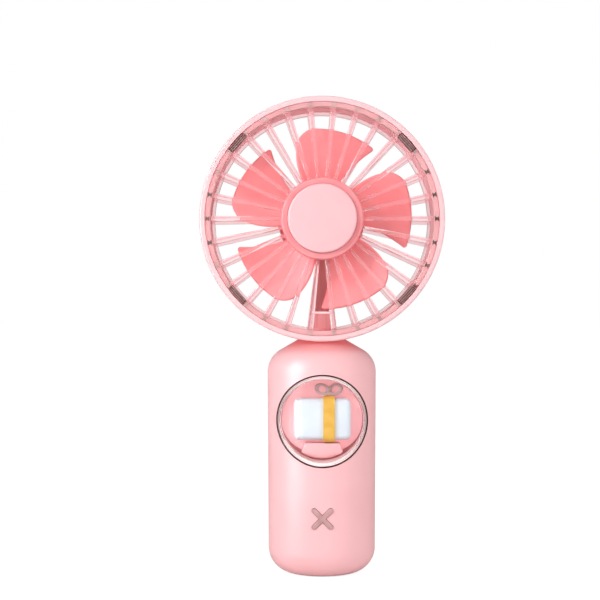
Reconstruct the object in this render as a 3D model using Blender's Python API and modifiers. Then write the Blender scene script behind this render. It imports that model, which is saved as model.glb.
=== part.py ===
# Handheld electric fan: a guarded fan head on a rounded grip with a clear display window.
# Metres, +Z up. The origin is the middle of the flat base, and the front faces -Y.

import math

import bmesh
import bpy
from mathutils import Matrix, Vector

MM = 0.001

# Fits between pieces
SEAT_GAP = 0.3 * MM            # between pieces that are fixed to each other
RUN_GAP = 0.8 * MM             # between pieces that move past each other
SHAFT_FIT = 0.15 * MM          # round the motor shaft

# Grip, a clamshell turned about the Z axis
GRIP_RADIUS = 21.4 * MM        # at the top of the straight side
GRIP_DRAFT = 0.35 * MM         # loss of radius from there to the base's corner
GRIP_WALL = 2.0 * MM
GRIP_SIDE_TOP = 79.1 * MM      # height where the straight side ends
SHOULDER_FILLET = 10.0 * MM
SHOULDER_SLOPE = math.radians(30)
BASE_CORNER = 10.0 * MM
NECK_RADIUS = 9.0 * MM
SADDLE_DEPTH = 0.8 * MM        # how far the hoop sinks into the top of the grip

# Round window in the front of the grip
WINDOW_DROP = 18.2 * MM        # from the top of the straight side to the window's middle
WINDOW_RADIUS = 18.1 * MM
SEAL_WIDTH = 0.5 * MM
COLLAR_WALL = 1.4 * MM
LENS_WALL = 1.8 * MM
LENS_PROUD = 0.5 * MM
POCKET_DEPTH = 12.5 * MM       # from the lens to the tray, at the middle
TRAY_THICKNESS = 1.5 * MM

# Ornament in the window
BOX_WIDTH = 22.0 * MM
BOX_HEIGHT = 16.0 * MM
BOX_DEPTH = 8.4 * MM
BOX_RISE = 0.4 * MM            # middle of the box above the window's middle
BOX_ROUNDING = 2.2 * MM
RIBBON_WIDTH = 4.4 * MM
RIBBON_THICKNESS = 0.6 * MM
RIBBON_OFFSET = 2.6 * MM
BOW_LOOP = 1.45 * MM           # middle radius of a loop
BOW_BAND = 0.5 * MM
BOW_SPREAD = 2.1 * MM
BOW_KNOT = 1.1 * MM
STAND_TOP_WIDTH = 13.6 * MM
STAND_FOOT_WIDTH = 16.4 * MM
STAND_DEPTH = 7.0 * MM

# Cross-shaped button and the switch behind it
BUTTON_HEIGHT = 23.6 * MM
CROSS_SPAN = 8.2 * MM
CROSS_ARM = 1.9 * MM
CROSS_PROUD = 0.4 * MM
BUTTON_TRAVEL = 0.6 * MM
BUTTON_FLANGE_RADIUS = 5.9 * MM
BUTTON_FLANGE_THICKNESS = 1.2 * MM
BUTTON_POST_RADIUS = 1.5 * MM
SWITCH_SIZE = 6.0 * MM
SWITCH_DEPTH = 3.5 * MM
PLUNGER_RADIUS = 1.75 * MM
PLUNGER_REACH = 1.6 * MM
PLUNGER_SUNK = 1.0 * MM

# Control board behind the button
BOARD_WIDTH = 19.0 * MM
BOARD_FOOT = 3.6 * MM          # height of its lower edge
BOARD_CLEAR = 2.4 * MM         # between its upper edge and the window's collar
BOARD_FRONT = 7.4 * MM         # front face, measured forward from the grip's axis
BOARD_THICKNESS = 1.6 * MM
BOARD_SCREW_INSET = 2.4 * MM
BOARD_POST_RADIUS = 1.8 * MM
BOARD_POST_LOW = 12.0 * MM
BOARD_SCREW_RADIUS = 0.8 * MM
BOARD_SCREW_HEAD = 1.5 * MM
BOARD_SCREW_HEAD_HEIGHT = 1.0 * MM
BOARD_SCREW_LENGTH = 6.0 * MM
CHIP_SIZE = 4.0 * MM
CHIP_DEPTH = 1.4 * MM
CHIP_FOOT = 6.4 * MM
INDUCTOR_RADIUS = 2.6 * MM
INDUCTOR_DEPTH = 2.6 * MM
INDUCTOR_HEIGHT = 15.6 * MM
LED_SIZE = 1.6 * MM
LED_DEPTH = 1.0 * MM
LED_OFFSET = 5.2 * MM

# Charging socket in the base
USB_WIDTH = 8.9 * MM
USB_THICKNESS = 3.2 * MM
USB_DEPTH = 7.3 * MM
USB_WALL = 0.4 * MM
USB_BACK = 1.2 * MM
USB_RECESS = 0.5 * MM
TONGUE_WIDTH = 6.6 * MM
TONGUE_THICKNESS = 0.7 * MM
TONGUE_LENGTH = 4.6 * MM

# Rechargeable cell
CELL_RADIUS = 9.2 * MM
CELL_LENGTH = 65.0 * MM
CELL_FOOT = 7.2 * MM           # height of its lower end
CELL_BACK_GAP = 1.5 * MM       # to the wall behind it
CELL_SHOULDER = 0.8 * MM
CELL_CAP_RADIUS = 2.9 * MM
CELL_CAP_HEIGHT = 1.1 * MM
TAB_WIDTH = 5.0 * MM
TAB_LENGTH = 12.0 * MM
TAB_THICKNESS = 0.4 * MM
CRADLE_THICKNESS = 1.8 * MM
CRADLE_LOW = 20.0 * MM
CRADLE_HIGH = 58.0 * MM
PAD_WIDTH = 10.0 * MM
PAD_LOW_GAP = 3.8 * MM         # above the inductor
PAD_HIGH_GAP = 2.2 * MM        # below the ends of the leads

# Screws that close the grip
SCREW_LOW_RISE = 4.0 * MM      # above the base's corner
SCREW_HIGH_DROP = 9.4 * MM     # below the top of the neck
SCREW_HIGH_INSET = 1.1 * MM    # inward from midway between the stem's flange and the wall
SCREW_RADIUS = 0.95 * MM
SCREW_HEAD_RADIUS = 1.8 * MM
SCREW_HEAD_HEIGHT = 1.5 * MM
SCREW_SEAT = 8.6 * MM          # behind the parting plane
SCREW_LENGTH = 15.0 * MM
BOSS_RADIUS = 3.1 * MM

# Hoop of the fan head. Depths are measured forward from the grip's axis.
HOOP_RADIUS = 47.7 * MM
HOOP_WALL = 2.1 * MM
HOOP_DEPTH = 27.0 * MM
HEAD_FORWARD = 0.5 * MM        # the hoop's middle in front of the grip's axis
HOOP_EDGE = 0.9 * MM
LEDGE_WIDTH = 1.8 * MM
LEDGE_DEPTH = 3.2 * MM

# Grilles
RIB_COUNT = 30
RIB_HUB_WIDTH = 1.3 * MM
RIB_RIM_WIDTH = 2.4 * MM
RIB_RIM_DEPTH = 2.6 * MM
RIB_HUB_DEPTH = 4.4 * MM
GUARD_RECESS = 0.4 * MM        # rims behind the hoop's edges
RIM_DEPTH = 3.6 * MM
FRONT_RIM_WIDTH = 1.8 * MM
REAR_RIM_WIDTH = 2.5 * MM
FRONT_HUB_RADIUS = 16.0 * MM
FRONT_HUB_DEPTH = 6.4 * MM
FRONT_HUB_FLOOR = 1.5 * MM
CAP_RADIUS = 13.4 * MM
CAP_PROUD = 2.0 * MM
CAP_EDGE = 0.9 * MM
CAP_PEG = 2.4 * MM
BRIDGE_RADIUS = 36.0 * MM      # short bar between the two lowest ribs
BRIDGE_HEIGHT = 0.9 * MM
REAR_HUB_WIDTH = 2.3 * MM
REAR_HUB_DEPTH = 3.6 * MM
COVER_RADIUS = 17.0 * MM
COVER_DEPTH = 1.6 * MM

# Clips that hold the front grille, each between two ribs
CLIP_COUNT = 4
CLIP_WIDTH = 8.2 * MM
CLIP_DEPTH = 3.4 * MM
CLIP_HEIGHT = 2.5 * MM

# Rotor
BLADE_COUNT = 5
BLADE_TIP_RADIUS = 36.2 * MM
BLADE_TIP_FALL = 1.0 * MM      # loss of radius along the tip
BLADE_THICKNESS = 1.3 * MM
BLADE_TRAIL_ANGLE = math.radians(117)
BLADE_TRAIL_SWEEP = math.radians(14.5)
BLADE_LEAD_ANGLE = math.radians(66.5)
BLADE_LEAD_SWEEP = math.radians(14)
BLADE_ROUNDING = 5.0 * MM      # trailing corner of the tip
BLADE_POINT = 1.5 * MM         # leading corner
BLADE_CAMBER = 0.28
ROTOR_GAP = 1.4 * MM           # between the rotor's face and the front grille
ROTOR_DEPTH = 11.6 * MM
ROTOR_HUB_WALL = 1.6 * MM
ROTOR_BOSS_RADIUS = 3.0 * MM
ROTOR_BOSS_DEPTH = 4.0 * MM
ROTOR_CHAMFER = 0.8 * MM

# Motor
MOTOR_SET_BACK = 6.1 * MM      # behind the rotor's face
MOTOR_RADIUS = 12.2 * MM
MOTOR_LENGTH = 12.1 * MM
MOTOR_WALL = 0.6 * MM
BUSH_RADIUS = 2.75 * MM
BUSH_LENGTH = 4.2 * MM
BUSH_PROUD = 1.2 * MM
SHAFT_RADIUS = 1.0 * MM
MAGNET_WALL = 1.8 * MM
MAGNET_LENGTH = 8.6 * MM
AIR_GAP = 0.5 * MM
POLE_COUNT = 3
POLE_NECK = 3.0 * MM
POLE_TIP = 1.5 * MM
POLE_SPREAD = 50             # degrees to each side of a pole
CORE_LENGTH = 5.2 * MM
CORE_RADIUS = 3.4 * MM
COMMUTATOR_RADIUS = 2.6 * MM
COMMUTATOR_LENGTH = 1.4 * MM
BELL_THICKNESS = 1.0 * MM
BELL_BOSS_RADIUS = 3.0 * MM
BELL_BOSS_HEIGHT = 1.0 * MM
TERMINAL_OFFSET = 6.2 * MM
TERMINAL_WIDTH = 2.0 * MM
TERMINAL_THICKNESS = 0.5 * MM
TERMINAL_LENGTH = 1.5 * MM

# Bracket: motor cup, strut and the stem that stands in the grip
CUP_WALL = 2.1 * MM
CUP_LEDGE = 2.7 * MM
CUP_FLOOR = 1.2 * MM
CUP_HOLE = 5.0 * MM
TERMINAL_ROOM = 2.3 * MM
STRUT_HUB_WIDTH = 3.4 * MM
STRUT_RIM_WIDTH = 7.6 * MM
FOOT_FRONT = 4.0 * MM
FOOT_TOP_RADIUS = 37.0 * MM
STEM_RADIUS = 5.5 * MM
STEM_FLANGE_RADIUS = 8.0 * MM
STEM_FLANGE_HEIGHT = 3.2 * MM
STEM_BORE = 2.4 * MM
SHELF_THICKNESS = 2.4 * MM
WIRE_SLOT = 1.8 * MM
WIRE_SLOT_DEPTH = 3.0 * MM
WIRE_POCKET = 6.75 * MM        # radial length of the hollow behind the strut's foot
CABLE_RADIUS = 0.5 * MM
CABLE_SIDE = 6.4 * MM          # from the middle of the grip to a lead beside the cell

# Facets round each kind of turned piece
GRIP_STEPS = 34
WINDOW_STEPS = 32
HEAD_STEPS = 60
HUB_STEPS = 20
SMALL_STEPS = 8

# Places that follow from the sizes above
GRIP_BORE = GRIP_RADIUS - GRIP_WALL
BASE_RADIUS = GRIP_RADIUS - GRIP_DRAFT
SHOULDER_END = GRIP_SIDE_TOP + SHOULDER_FILLET * math.cos(SHOULDER_SLOPE)
SHOULDER_END_RADIUS = GRIP_RADIUS - SHOULDER_FILLET * (1 - math.sin(SHOULDER_SLOPE))
NECK_TOP = SHOULDER_END + (SHOULDER_END_RADIUS - NECK_RADIUS) * math.tan(SHOULDER_SLOPE)
HOOP_FOOT = NECK_TOP - SADDLE_DEPTH
HEAD_HEIGHT = HOOP_FOOT + HOOP_RADIUS
CAVITY_TOP = HOOP_FOOT - SEAT_GAP - GRIP_WALL
FAR = 4 * HOOP_RADIUS          # longer than the object, for cutters that run right through

WINDOW_HEIGHT = GRIP_SIDE_TOP - WINDOW_DROP
WINDOW_FRONT = GRIP_RADIUS + LENS_PROUD
LENS_RADIUS = WINDOW_RADIUS - SEAL_WIDTH - 2 * SEAT_GAP
TRAY_FRONT = WINDOW_FRONT - LENS_WALL - POCKET_DEPTH
TRAY_BACK = TRAY_FRONT - TRAY_THICKNESS
LENS_BACK = TRAY_FRONT + SEAT_GAP
BOX_BACK = TRAY_FRONT + SEAT_GAP
BOX_LOW = BOX_RISE - BOX_HEIGHT / 2
BOX_TOP = BOX_RISE + BOX_HEIGHT / 2

BUTTON_SIDE = GRIP_RADIUS - GRIP_DRAFT * (GRIP_SIDE_TOP - BUTTON_HEIGHT) / (GRIP_SIDE_TOP - BASE_CORNER)
FLANGE_FRONT = math.sqrt((BUTTON_SIDE - GRIP_WALL) ** 2 - BUTTON_FLANGE_RADIUS ** 2) - SEAT_GAP
FLANGE_BACK = FLANGE_FRONT - BUTTON_FLANGE_THICKNESS
SWITCH_BACK = BOARD_FRONT + SEAT_GAP
SWITCH_FRONT = SWITCH_BACK + SWITCH_DEPTH
PLUNGER_FRONT = SWITCH_FRONT + PLUNGER_REACH
BOARD_BACK = BOARD_FRONT - BOARD_THICKNESS
BOARD_TOP = WINDOW_HEIGHT - WINDOW_RADIUS - COLLAR_WALL - BOARD_CLEAR
BOARD_SCREW_X = BOARD_WIDTH / 2 - BOARD_SCREW_INSET
BOARD_SCREW_Z = BOARD_TOP - BOARD_SCREW_INSET
LEAD_END = BOARD_SCREW_Z - BOARD_SCREW_INSET
USB_MIDDLE = BOARD_FRONT + SEAT_GAP + USB_THICKNESS / 2
USB_TOP = USB_RECESS + USB_DEPTH

CELL_Y = GRIP_BORE - CELL_RADIUS - CELL_BACK_GAP
CELL_TOP = CELL_FOOT + CELL_LENGTH
SCREW_LOW_X = (CELL_RADIUS + GRIP_BORE) / 2
SCREW_LOW_Z = BASE_CORNER + SCREW_LOW_RISE
SCREW_HIGH_X = (STEM_FLANGE_RADIUS + GRIP_BORE) / 2 - SCREW_HIGH_INSET
SCREW_HIGH_Z = NECK_TOP - SCREW_HIGH_DROP
FLANGE_TOP = CAVITY_TOP - SEAT_GAP
FLANGE_FOOT = FLANGE_TOP - STEM_FLANGE_HEIGHT
SHELF_TOP = FLANGE_FOOT - SEAT_GAP

HOOP_FRONT = HEAD_FORWARD + HOOP_DEPTH / 2
HOOP_REAR = HEAD_FORWARD - HOOP_DEPTH / 2
HOOP_BORE = HOOP_RADIUS - HOOP_WALL
RIM_RADIUS = HOOP_BORE - SEAT_GAP
FRONT_RIM_FACE = HOOP_FRONT - GUARD_RECESS
FRONT_RIM_BACK = FRONT_RIM_FACE - RIM_DEPTH
REAR_RIM_BACK = HOOP_REAR + GUARD_RECESS
REAR_RIM_FRONT = REAR_RIM_BACK + RIM_DEPTH
FRONT_HUB_FACE = FRONT_RIM_BACK + FRONT_HUB_DEPTH
HUB_FLOOR_FACE = FRONT_RIM_BACK + FRONT_HUB_FLOOR
CAP_FACE = FRONT_HUB_FACE + CAP_PROUD
CAP_BACK = HUB_FLOOR_FACE + SEAT_GAP

ROTOR_FRONT = FRONT_RIM_BACK - ROTOR_GAP
ROTOR_REAR = ROTOR_FRONT - ROTOR_DEPTH
ROTOR_BORE = MOTOR_RADIUS + RUN_GAP
ROTOR_HUB_RADIUS = ROTOR_BORE + ROTOR_HUB_WALL
BLADE_ROOT = ROTOR_HUB_RADIUS - ROTOR_HUB_WALL / 2
MOTOR_FRONT = ROTOR_FRONT - MOTOR_SET_BACK
MOTOR_REAR = MOTOR_FRONT - MOTOR_LENGTH
MOTOR_BORE = MOTOR_RADIUS - MOTOR_WALL
MAGNET_RADIUS = MOTOR_BORE - SEAT_GAP
MAGNET_FRONT = MOTOR_FRONT - MOTOR_WALL - SEAT_GAP
BUSH_BACK = MOTOR_FRONT + BUSH_PROUD - BUSH_LENGTH
CORE_OUTER = MAGNET_RADIUS - MAGNET_WALL - AIR_GAP
CORE_FRONT = BUSH_BACK - SEAT_GAP
CORE_BACK = CORE_FRONT - CORE_LENGTH
COMMUTATOR_FRONT = CORE_BACK - SEAT_GAP
BELL_FRONT = MOTOR_REAR + BELL_THICKNESS
SHAFT_BACK = MOTOR_REAR - BELL_BOSS_HEIGHT / 2
SHAFT_FRONT = ROTOR_FRONT - SEAT_GAP

CUP_BORE = MOTOR_RADIUS + SEAT_GAP
CUP_RADIUS = CUP_BORE + CUP_WALL
CUP_FRONT = ROTOR_REAR - RUN_GAP
CUP_SEAT = MOTOR_REAR - SEAT_GAP
CUP_FLOOR_FACE = CUP_SEAT - TERMINAL_ROOM
CUP_REAR = CUP_FLOOR_FACE - CUP_FLOOR
REAR_HUB_BORE = CUP_RADIUS + SEAT_GAP
REAR_HUB_RADIUS = REAR_HUB_BORE + REAR_HUB_WIDTH
REAR_HUB_BACK = CUP_REAR + SEAT_GAP
REAR_HUB_FRONT = REAR_HUB_BACK + REAR_HUB_DEPTH
STRUT_REAR = max(REAR_RIM_FRONT, REAR_HUB_FRONT) + SEAT_GAP
STRUT_FOOT = HOOP_BORE - RUN_GAP
COVER_FRONT = CUP_REAR - SEAT_GAP


def collection(name):
    group = bpy.data.collections.new(name)
    bpy.context.scene.collection.children.link(group)
    return group


for old in list(bpy.data.objects):
    bpy.data.objects.remove(old, do_unlink=True)
parts = collection("handheld_fan")
cutters = collection("cutters")


def finish(name, colour, roughness, metallic=0.0, transmission=0.0):
    surface = bpy.data.materials.new(name)
    surface.use_nodes = True
    shader = surface.node_tree.nodes["Principled BSDF"]
    shader.inputs["Base Color"].default_value = (*colour, 1.0)
    shader.inputs["Roughness"].default_value = roughness
    shader.inputs["Metallic"].default_value = metallic
    shader.inputs["Transmission Weight"].default_value = transmission
    return surface


PINK = finish("pink_abs", (0.95, 0.55, 0.58), 0.40)
PALE = finish("pale_pink_abs", (0.95, 0.62, 0.65), 0.45)
CORAL = finish("coral_plastic", (0.95, 0.27, 0.28), 0.38)
STRUT = finish("strut_coral", (0.60, 0.16, 0.17), 0.45)
GUARD = finish("translucent_pink_pc", (0.98, 0.70, 0.73), 0.15, 0.0, 0.6)
CLEAR = finish("clear_pc", (0.98, 0.96, 0.96), 0.05, 0.0, 0.95)
SMOKE = finish("brown_clip_plastic", (0.20, 0.10, 0.10), 0.35)
SEAL = finish("dark_seal_rubber", (0.08, 0.04, 0.04), 0.6)
WHITE = finish("white_abs", (0.90, 0.91, 0.93), 0.35)
YELLOW = finish("yellow_paint", (0.85, 0.55, 0.10), 0.4)
FROST = finish("frosted_plastic", (0.75, 0.66, 0.67), 0.35, 0.0, 0.3)
GREY_ROSE = finish("grey_rose_plastic", (0.52, 0.30, 0.31), 0.4)
BLACK = finish("black_plastic", (0.03, 0.03, 0.03), 0.5)
BOARD = finish("circuit_board", (0.03, 0.20, 0.08), 0.45)
STEEL = finish("plated_steel", (0.60, 0.60, 0.62), 0.30, 1.0)
NICKEL = finish("nickel", (0.66, 0.63, 0.58), 0.30, 1.0)
BRONZE = finish("bronze", (0.50, 0.32, 0.15), 0.40, 1.0)
COPPER = finish("copper", (0.72, 0.34, 0.18), 0.35, 1.0)
FERRITE = finish("ferrite", (0.06, 0.06, 0.065), 0.6)
SLEEVE = finish("cell_sleeve", (0.05, 0.16, 0.42), 0.35)
FOAM = finish("black_foam", (0.05, 0.05, 0.05), 0.9)
JACKET = finish("cable_jacket", (0.55, 0.05, 0.05), 0.5)


def frame(name, location, quarter_turns):
    # An empty that carries pieces. One quarter turn about X makes its Z axis point forward.
    empty = bpy.data.objects.new(name, None)
    empty.location = location
    empty.rotation_euler = (quarter_turns * math.pi / 2, 0.0, 0.0)
    parts.objects.link(empty)
    return empty


HEAD = frame("head_axis", (0.0, 0.0, HEAD_HEIGHT), 1)
WINDOW = frame("window_axis", (0.0, 0.0, WINDOW_HEIGHT), 1)
BUTTON = frame("button_axis", (0.0, 0.0, BUTTON_HEIGHT), 1)


def add(name, mesh, surface=None, parent=None):
    # A piece of the fan if it has a surface, and otherwise a cutter or a shape to be joined on.
    item = bpy.data.objects.new(name, mesh)
    item.parent = parent
    if surface is None:
        cutters.objects.link(item)
        item.hide_render = True
        item.display_type = "WIRE"
    else:
        parts.objects.link(item)
        mesh.materials.append(surface)
    return item


def boolean(item, other, operation):
    step = item.modifiers.new(operation.title(), "BOOLEAN")
    step.operation = operation
    step.object = other
    return item


def cut(item, *others):
    for other in others:
        boolean(item, other, "DIFFERENCE")
    return item


def join(item, *others):
    for other in others:
        boolean(item, other, "UNION")
    return item


def keep(item, other):
    return boolean(item, other, "INTERSECT")


def rounded(item, width, segments=2):
    bevel = item.modifiers.new("Rounding", "BEVEL")
    bevel.width = width
    bevel.segments = segments
    return item


def mesh_of(name, form):
    mesh = bpy.data.meshes.new(name)
    form.to_mesh(mesh)
    form.free()
    mesh.shade_smooth()
    mesh.set_sharp_from_angle(angle=math.radians(35))
    return mesh


def turned(name, profile, steps, surface=None, parent=None, ring=False):
    # Profile of (radius, height) points, down the outer side first. A ring's profile is a closed loop.
    mesh = bpy.data.meshes.new(name)
    points = [(radius, 0.0, height) for radius, height in profile]
    edges = [(i, i + 1) for i in range(len(points) - 1)]
    if ring:
        edges.append((len(points) - 1, 0))
    mesh.from_pydata(points, edges, [])
    item = add(name, mesh, surface, parent)
    screw = item.modifiers.new("Turn", "SCREW")
    screw.steps = steps
    screw.render_steps = steps
    screw.use_merge_vertices = True
    screw.merge_threshold = 0.00001
    screw.use_smooth_shade = True
    return item


def tube(name, outer, inner, high, low, steps, surface=None, parent=None):
    profile = [(outer, high), (outer, low), (inner, low), (inner, high)]
    return turned(name, profile, steps, surface, parent, ring=True)


def rods(name, radius, low, high, places, steps, axis="Z", surface=None, parent=None):
    # One or more round bars along an axis. A place gives the two other coordinates of a bar's middle line.
    form = bmesh.new()
    middle = (low + high) / 2
    for a, b in places:
        if axis == "Y":
            place = Matrix.Translation((a, middle, b)) @ Matrix.Rotation(math.pi / 2, 4, "X")
        else:
            place = Matrix.Translation((a, b, middle))
        bmesh.ops.create_cone(form, cap_ends=True, segments=steps, radius1=radius, radius2=radius,
                              depth=high - low, matrix=place)
    return add(name, mesh_of(name, form), surface, parent)


def block(name, low, high, surface=None, parent=None):
    form = bmesh.new()
    size = Vector(high) - Vector(low)
    place = Matrix.Translation((Vector(high) + Vector(low)) / 2) @ Matrix.Diagonal((*size, 1.0))
    bmesh.ops.create_cube(form, size=1.0, matrix=place)
    return add(name, mesh_of(name, form), surface, parent)


def plate(name, outline, low, high, surface=None, parent=None):
    # A flat outline made solid between two heights.
    curve = bpy.data.curves.new(name, "CURVE")
    curve.dimensions = "2D"
    curve.fill_mode = "BOTH"
    curve.extrude = (high - low) / 2
    spline = curve.splines.new("POLY")
    spline.points.add(len(outline) - 1)
    for point, (x, y) in zip(spline.points, outline):
        point.co = (x, y, 0.0, 1.0)
    spline.use_cyclic_u = True
    drawn = bpy.data.objects.new(name + "_outline", curve)
    bpy.context.scene.collection.objects.link(drawn)
    solid = bpy.data.meshes.new_from_object(drawn.evaluated_get(bpy.context.evaluated_depsgraph_get()))
    bpy.data.objects.remove(drawn)
    form = bmesh.new()
    form.from_mesh(solid)
    bpy.data.meshes.remove(solid)
    bmesh.ops.remove_doubles(form, verts=form.verts, dist=0.000001)
    bmesh.ops.recalc_face_normals(form, faces=form.faces)
    bmesh.ops.translate(form, verts=form.verts, vec=(0.0, 0.0, (low + high) / 2))
    return add(name, mesh_of(name, form), surface, parent)


def arc(centre, radius, start, end, steps):
    # Points along an arc, with both ends, from angles in degrees.
    turn = [math.radians(start + (end - start) * i / steps) for i in range(steps + 1)]
    return [(centre[0] + radius * math.cos(a), centre[1] + radius * math.sin(a)) for a in turn]


def stadium(width, thickness, steps=6):
    middle = (width - thickness) / 2
    right = arc((middle, 0.0), thickness / 2, -90, 90, steps)
    left = arc((-middle, 0.0), thickness / 2, 90, 270, steps)
    return right + left


def cable(name, route):
    # A round lead along a smooth curve through its route.
    curve = bpy.data.curves.new(name, "CURVE")
    curve.dimensions = "3D"
    curve.bevel_depth = CABLE_RADIUS
    curve.bevel_resolution = 1
    curve.use_fill_caps = True
    spline = curve.splines.new("POLY")
    points = smooth_route([Vector(place) for place in route])
    spline.points.add(len(points) - 1)
    for point, place in zip(spline.points, points):
        point.co = (*place, 1.0)
    item = bpy.data.objects.new(name, curve)
    parts.objects.link(item)
    curve.materials.append(JACKET)
    weld = item.modifiers.new("Caps", "WELD")
    weld.merge_threshold = 0.00001
    return item


def smooth_route(route, share=2):
    # Points of a Catmull-Rom curve through the route.
    ends = [2 * route[0] - route[1]] + route + [2 * route[-1] - route[-2]]
    points = []
    for a, b, c, d in zip(ends, ends[1:], ends[2:], ends[3:]):
        for i in range(share):
            t = i / share
            points.append(0.5 * (2 * b + (c - a) * t + (2 * a - 5 * b + 4 * c - d) * t ** 2
                                 + (3 * b - a - 3 * c + d) * t ** 3))
    return points + [route[-1]]


def grip_profile(inset, top):
    # Half outline of the grip, pulled in by inset and ended flat at a height.
    slope = math.degrees(SHOULDER_SLOPE)
    shoulder = arc((GRIP_RADIUS - SHOULDER_FILLET, GRIP_SIDE_TOP), SHOULDER_FILLET - inset, 90 - slope, 0, 3)
    corner = arc((BASE_RADIUS - BASE_CORNER, BASE_CORNER), BASE_CORNER - inset, 0, -90, 4)
    radius, height = shoulder[0]
    neck = radius - (top - height) / math.tan(SHOULDER_SLOPE)
    return [(0.0, top), (neck, top)] + shoulder + corner + [(0.0, inset)]


def cross_outline(clearance):
    # Two round-ended bars that cross at 45 degrees.
    half = CROSS_ARM / 2
    reach = (CROSS_SPAN / 2 - half) * math.sqrt(2)
    outline = []
    for quarter in range(4):
        turn = Matrix.Rotation(math.radians(45 + 90 * quarter), 2)
        arm = [(half + clearance, -half - clearance)] + arc((reach, 0.0), half + clearance, -90, 90, 5)
        outline += [turn @ Vector(point) for point in arm]
    return outline


def grip_shells():
    screws = []
    for side in (1, -1):
        screws += [(side * SCREW_LOW_X, SCREW_LOW_Z), (side * SCREW_HIGH_X, SCREW_HIGH_Z)]
    bosses = rods("boss_posts", BOSS_RADIUS, -FAR, FAR, screws, SMALL_STEPS, "Y")
    shank_holes = rods("shank_holes", SCREW_RADIUS + SEAT_GAP, -FAR, FAR, screws, SMALL_STEPS, "Y")
    pilot_holes = rods("pilot_holes", SCREW_RADIUS + SEAT_GAP, SCREW_SEAT - SCREW_LENGTH - RUN_GAP, FAR,
                       screws, SMALL_STEPS, "Y")
    head_holes = rods("head_holes", SCREW_HEAD_RADIUS + SEAT_GAP, SCREW_SEAT, FAR, screws, SMALL_STEPS, "Y")
    shelf = block("stem_shelf", (-FAR, -FAR, SHELF_TOP - SHELF_THICKNESS), (FAR, FAR, SHELF_TOP))
    shelf_hole = rods("shelf_hole", STEM_RADIUS, 0.0, FAR, [(0.0, 0.0)], HUB_STEPS)
    cut(shelf, shelf_hole)
    stem_hole = rods("stem_hole", STEM_RADIUS + SEAT_GAP, SHELF_TOP, FAR, [(0.0, 0.0)], HUB_STEPS)
    saddle = rods("hoop_saddle", HOOP_RADIUS + SEAT_GAP, -FAR, FAR, [(0.0, HEAD_HEIGHT)], HEAD_STEPS, "Y")

    collar = rods("window_collar", WINDOW_RADIUS + COLLAR_WALL, TRAY_BACK, FAR, [(0.0, 0.0)], WINDOW_STEPS,
                  parent=WINDOW)
    window_hole = rods("window_hole", WINDOW_RADIUS, 0.0, FAR, [(0.0, 0.0)], WINDOW_STEPS, parent=WINDOW)
    cross_hole = plate("cross_hole", cross_outline(SEAT_GAP), FLANGE_BACK, FAR, parent=BUTTON)
    usb_hole = plate("usb_hole", stadium(USB_WIDTH + 2 * SEAT_GAP, USB_THICKNESS + 2 * SEAT_GAP),
                     -FAR, USB_TOP / 2)
    usb_hole.location.y = -USB_MIDDLE
    posts = board_screw_places() + [(side * BOARD_SCREW_X, BOARD_POST_LOW) for side in (1, -1)]
    board_posts = rods("board_posts", BOARD_POST_RADIUS, -FAR, -BOARD_FRONT - SEAT_GAP, posts, SMALL_STEPS,
                       "Y")
    board_screw_end = -BOARD_BACK - BOARD_SCREW_LENGTH
    board_holes = rods("board_holes", BOARD_SCREW_RADIUS + SEAT_GAP, board_screw_end - SEAT_GAP, 0.0,
                       board_screw_places(), SMALL_STEPS, "Y")

    cell_hole = rods("cell_hole", CELL_RADIUS + SEAT_GAP, 0.0, FAR, [(0.0, CELL_Y)], HUB_STEPS)
    cell_foot = block("cell_foot", (-TAB_WIDTH / 2, CELL_Y - TAB_LENGTH / 2, -FAR),
                      (TAB_WIDTH / 2, CELL_Y + TAB_LENGTH / 2, CELL_FOOT - TAB_THICKNESS - 2 * SEAT_GAP))
    cradles = []
    for index, foot in enumerate((CRADLE_LOW, CRADLE_HIGH)):
        cradle = block(f"cell_cradle_{index + 1}", (-FAR, CELL_Y, foot), (FAR, FAR, foot + CRADLE_THICKNESS))
        cradles.append(cut(cradle, cell_hole))

    front_half = block("front_half", (-FAR, -FAR, -FAR), (FAR, SEAT_GAP / 2, FAR))
    rear_half = block("rear_half", (-FAR, -SEAT_GAP / 2, -FAR), (FAR, FAR, FAR))
    cavity = {}
    for side in ("front", "rear"):
        cavity[side] = turned(side + "_cavity", grip_profile(GRIP_WALL, CAVITY_TOP), GRIP_STEPS)
        cut(cavity[side], bosses, shelf)
    cut(cavity["front"], collar, board_posts)
    cut(cavity["rear"], *cradles, cell_foot)

    front = turned("front_shell", grip_profile(0.0, NECK_TOP), GRIP_STEPS, PINK)
    cut(front, cavity["front"], rear_half, saddle, stem_hole, window_hole, cross_hole, usb_hole, pilot_holes,
        board_holes)
    rear = turned("rear_shell", grip_profile(0.0, NECK_TOP), GRIP_STEPS, PINK)
    cut(rear, cavity["rear"], front_half, saddle, stem_hole, shank_holes, head_holes)

    for index, (x, z) in enumerate(screws):
        name = f"shell_screw_{index + 1}"
        profile = screw_profile(SCREW_RADIUS, SCREW_HEAD_RADIUS, SCREW_HEAD_HEIGHT, SCREW_LENGTH)
        screw = turned(name, profile, SMALL_STEPS, STEEL)
        screw.location = (x, SCREW_SEAT + SEAT_GAP, z)
        screw.rotation_euler.x = -math.pi / 2


def screw_profile(radius, head_radius, head_height, length):
    # A pan-head screw that stands head up, with its seat at height 0.
    crown = [(0.0, head_height), (head_radius / 2, head_height), (head_radius, head_height / 2)]
    shank = [(head_radius, 0.0), (radius, 0.0), (radius, head_height - length), (0.0, -length)]
    return crown + shank


def board_screw_places():
    return [(side * BOARD_SCREW_X, BOARD_SCREW_Z) for side in (1, -1)]


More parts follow.
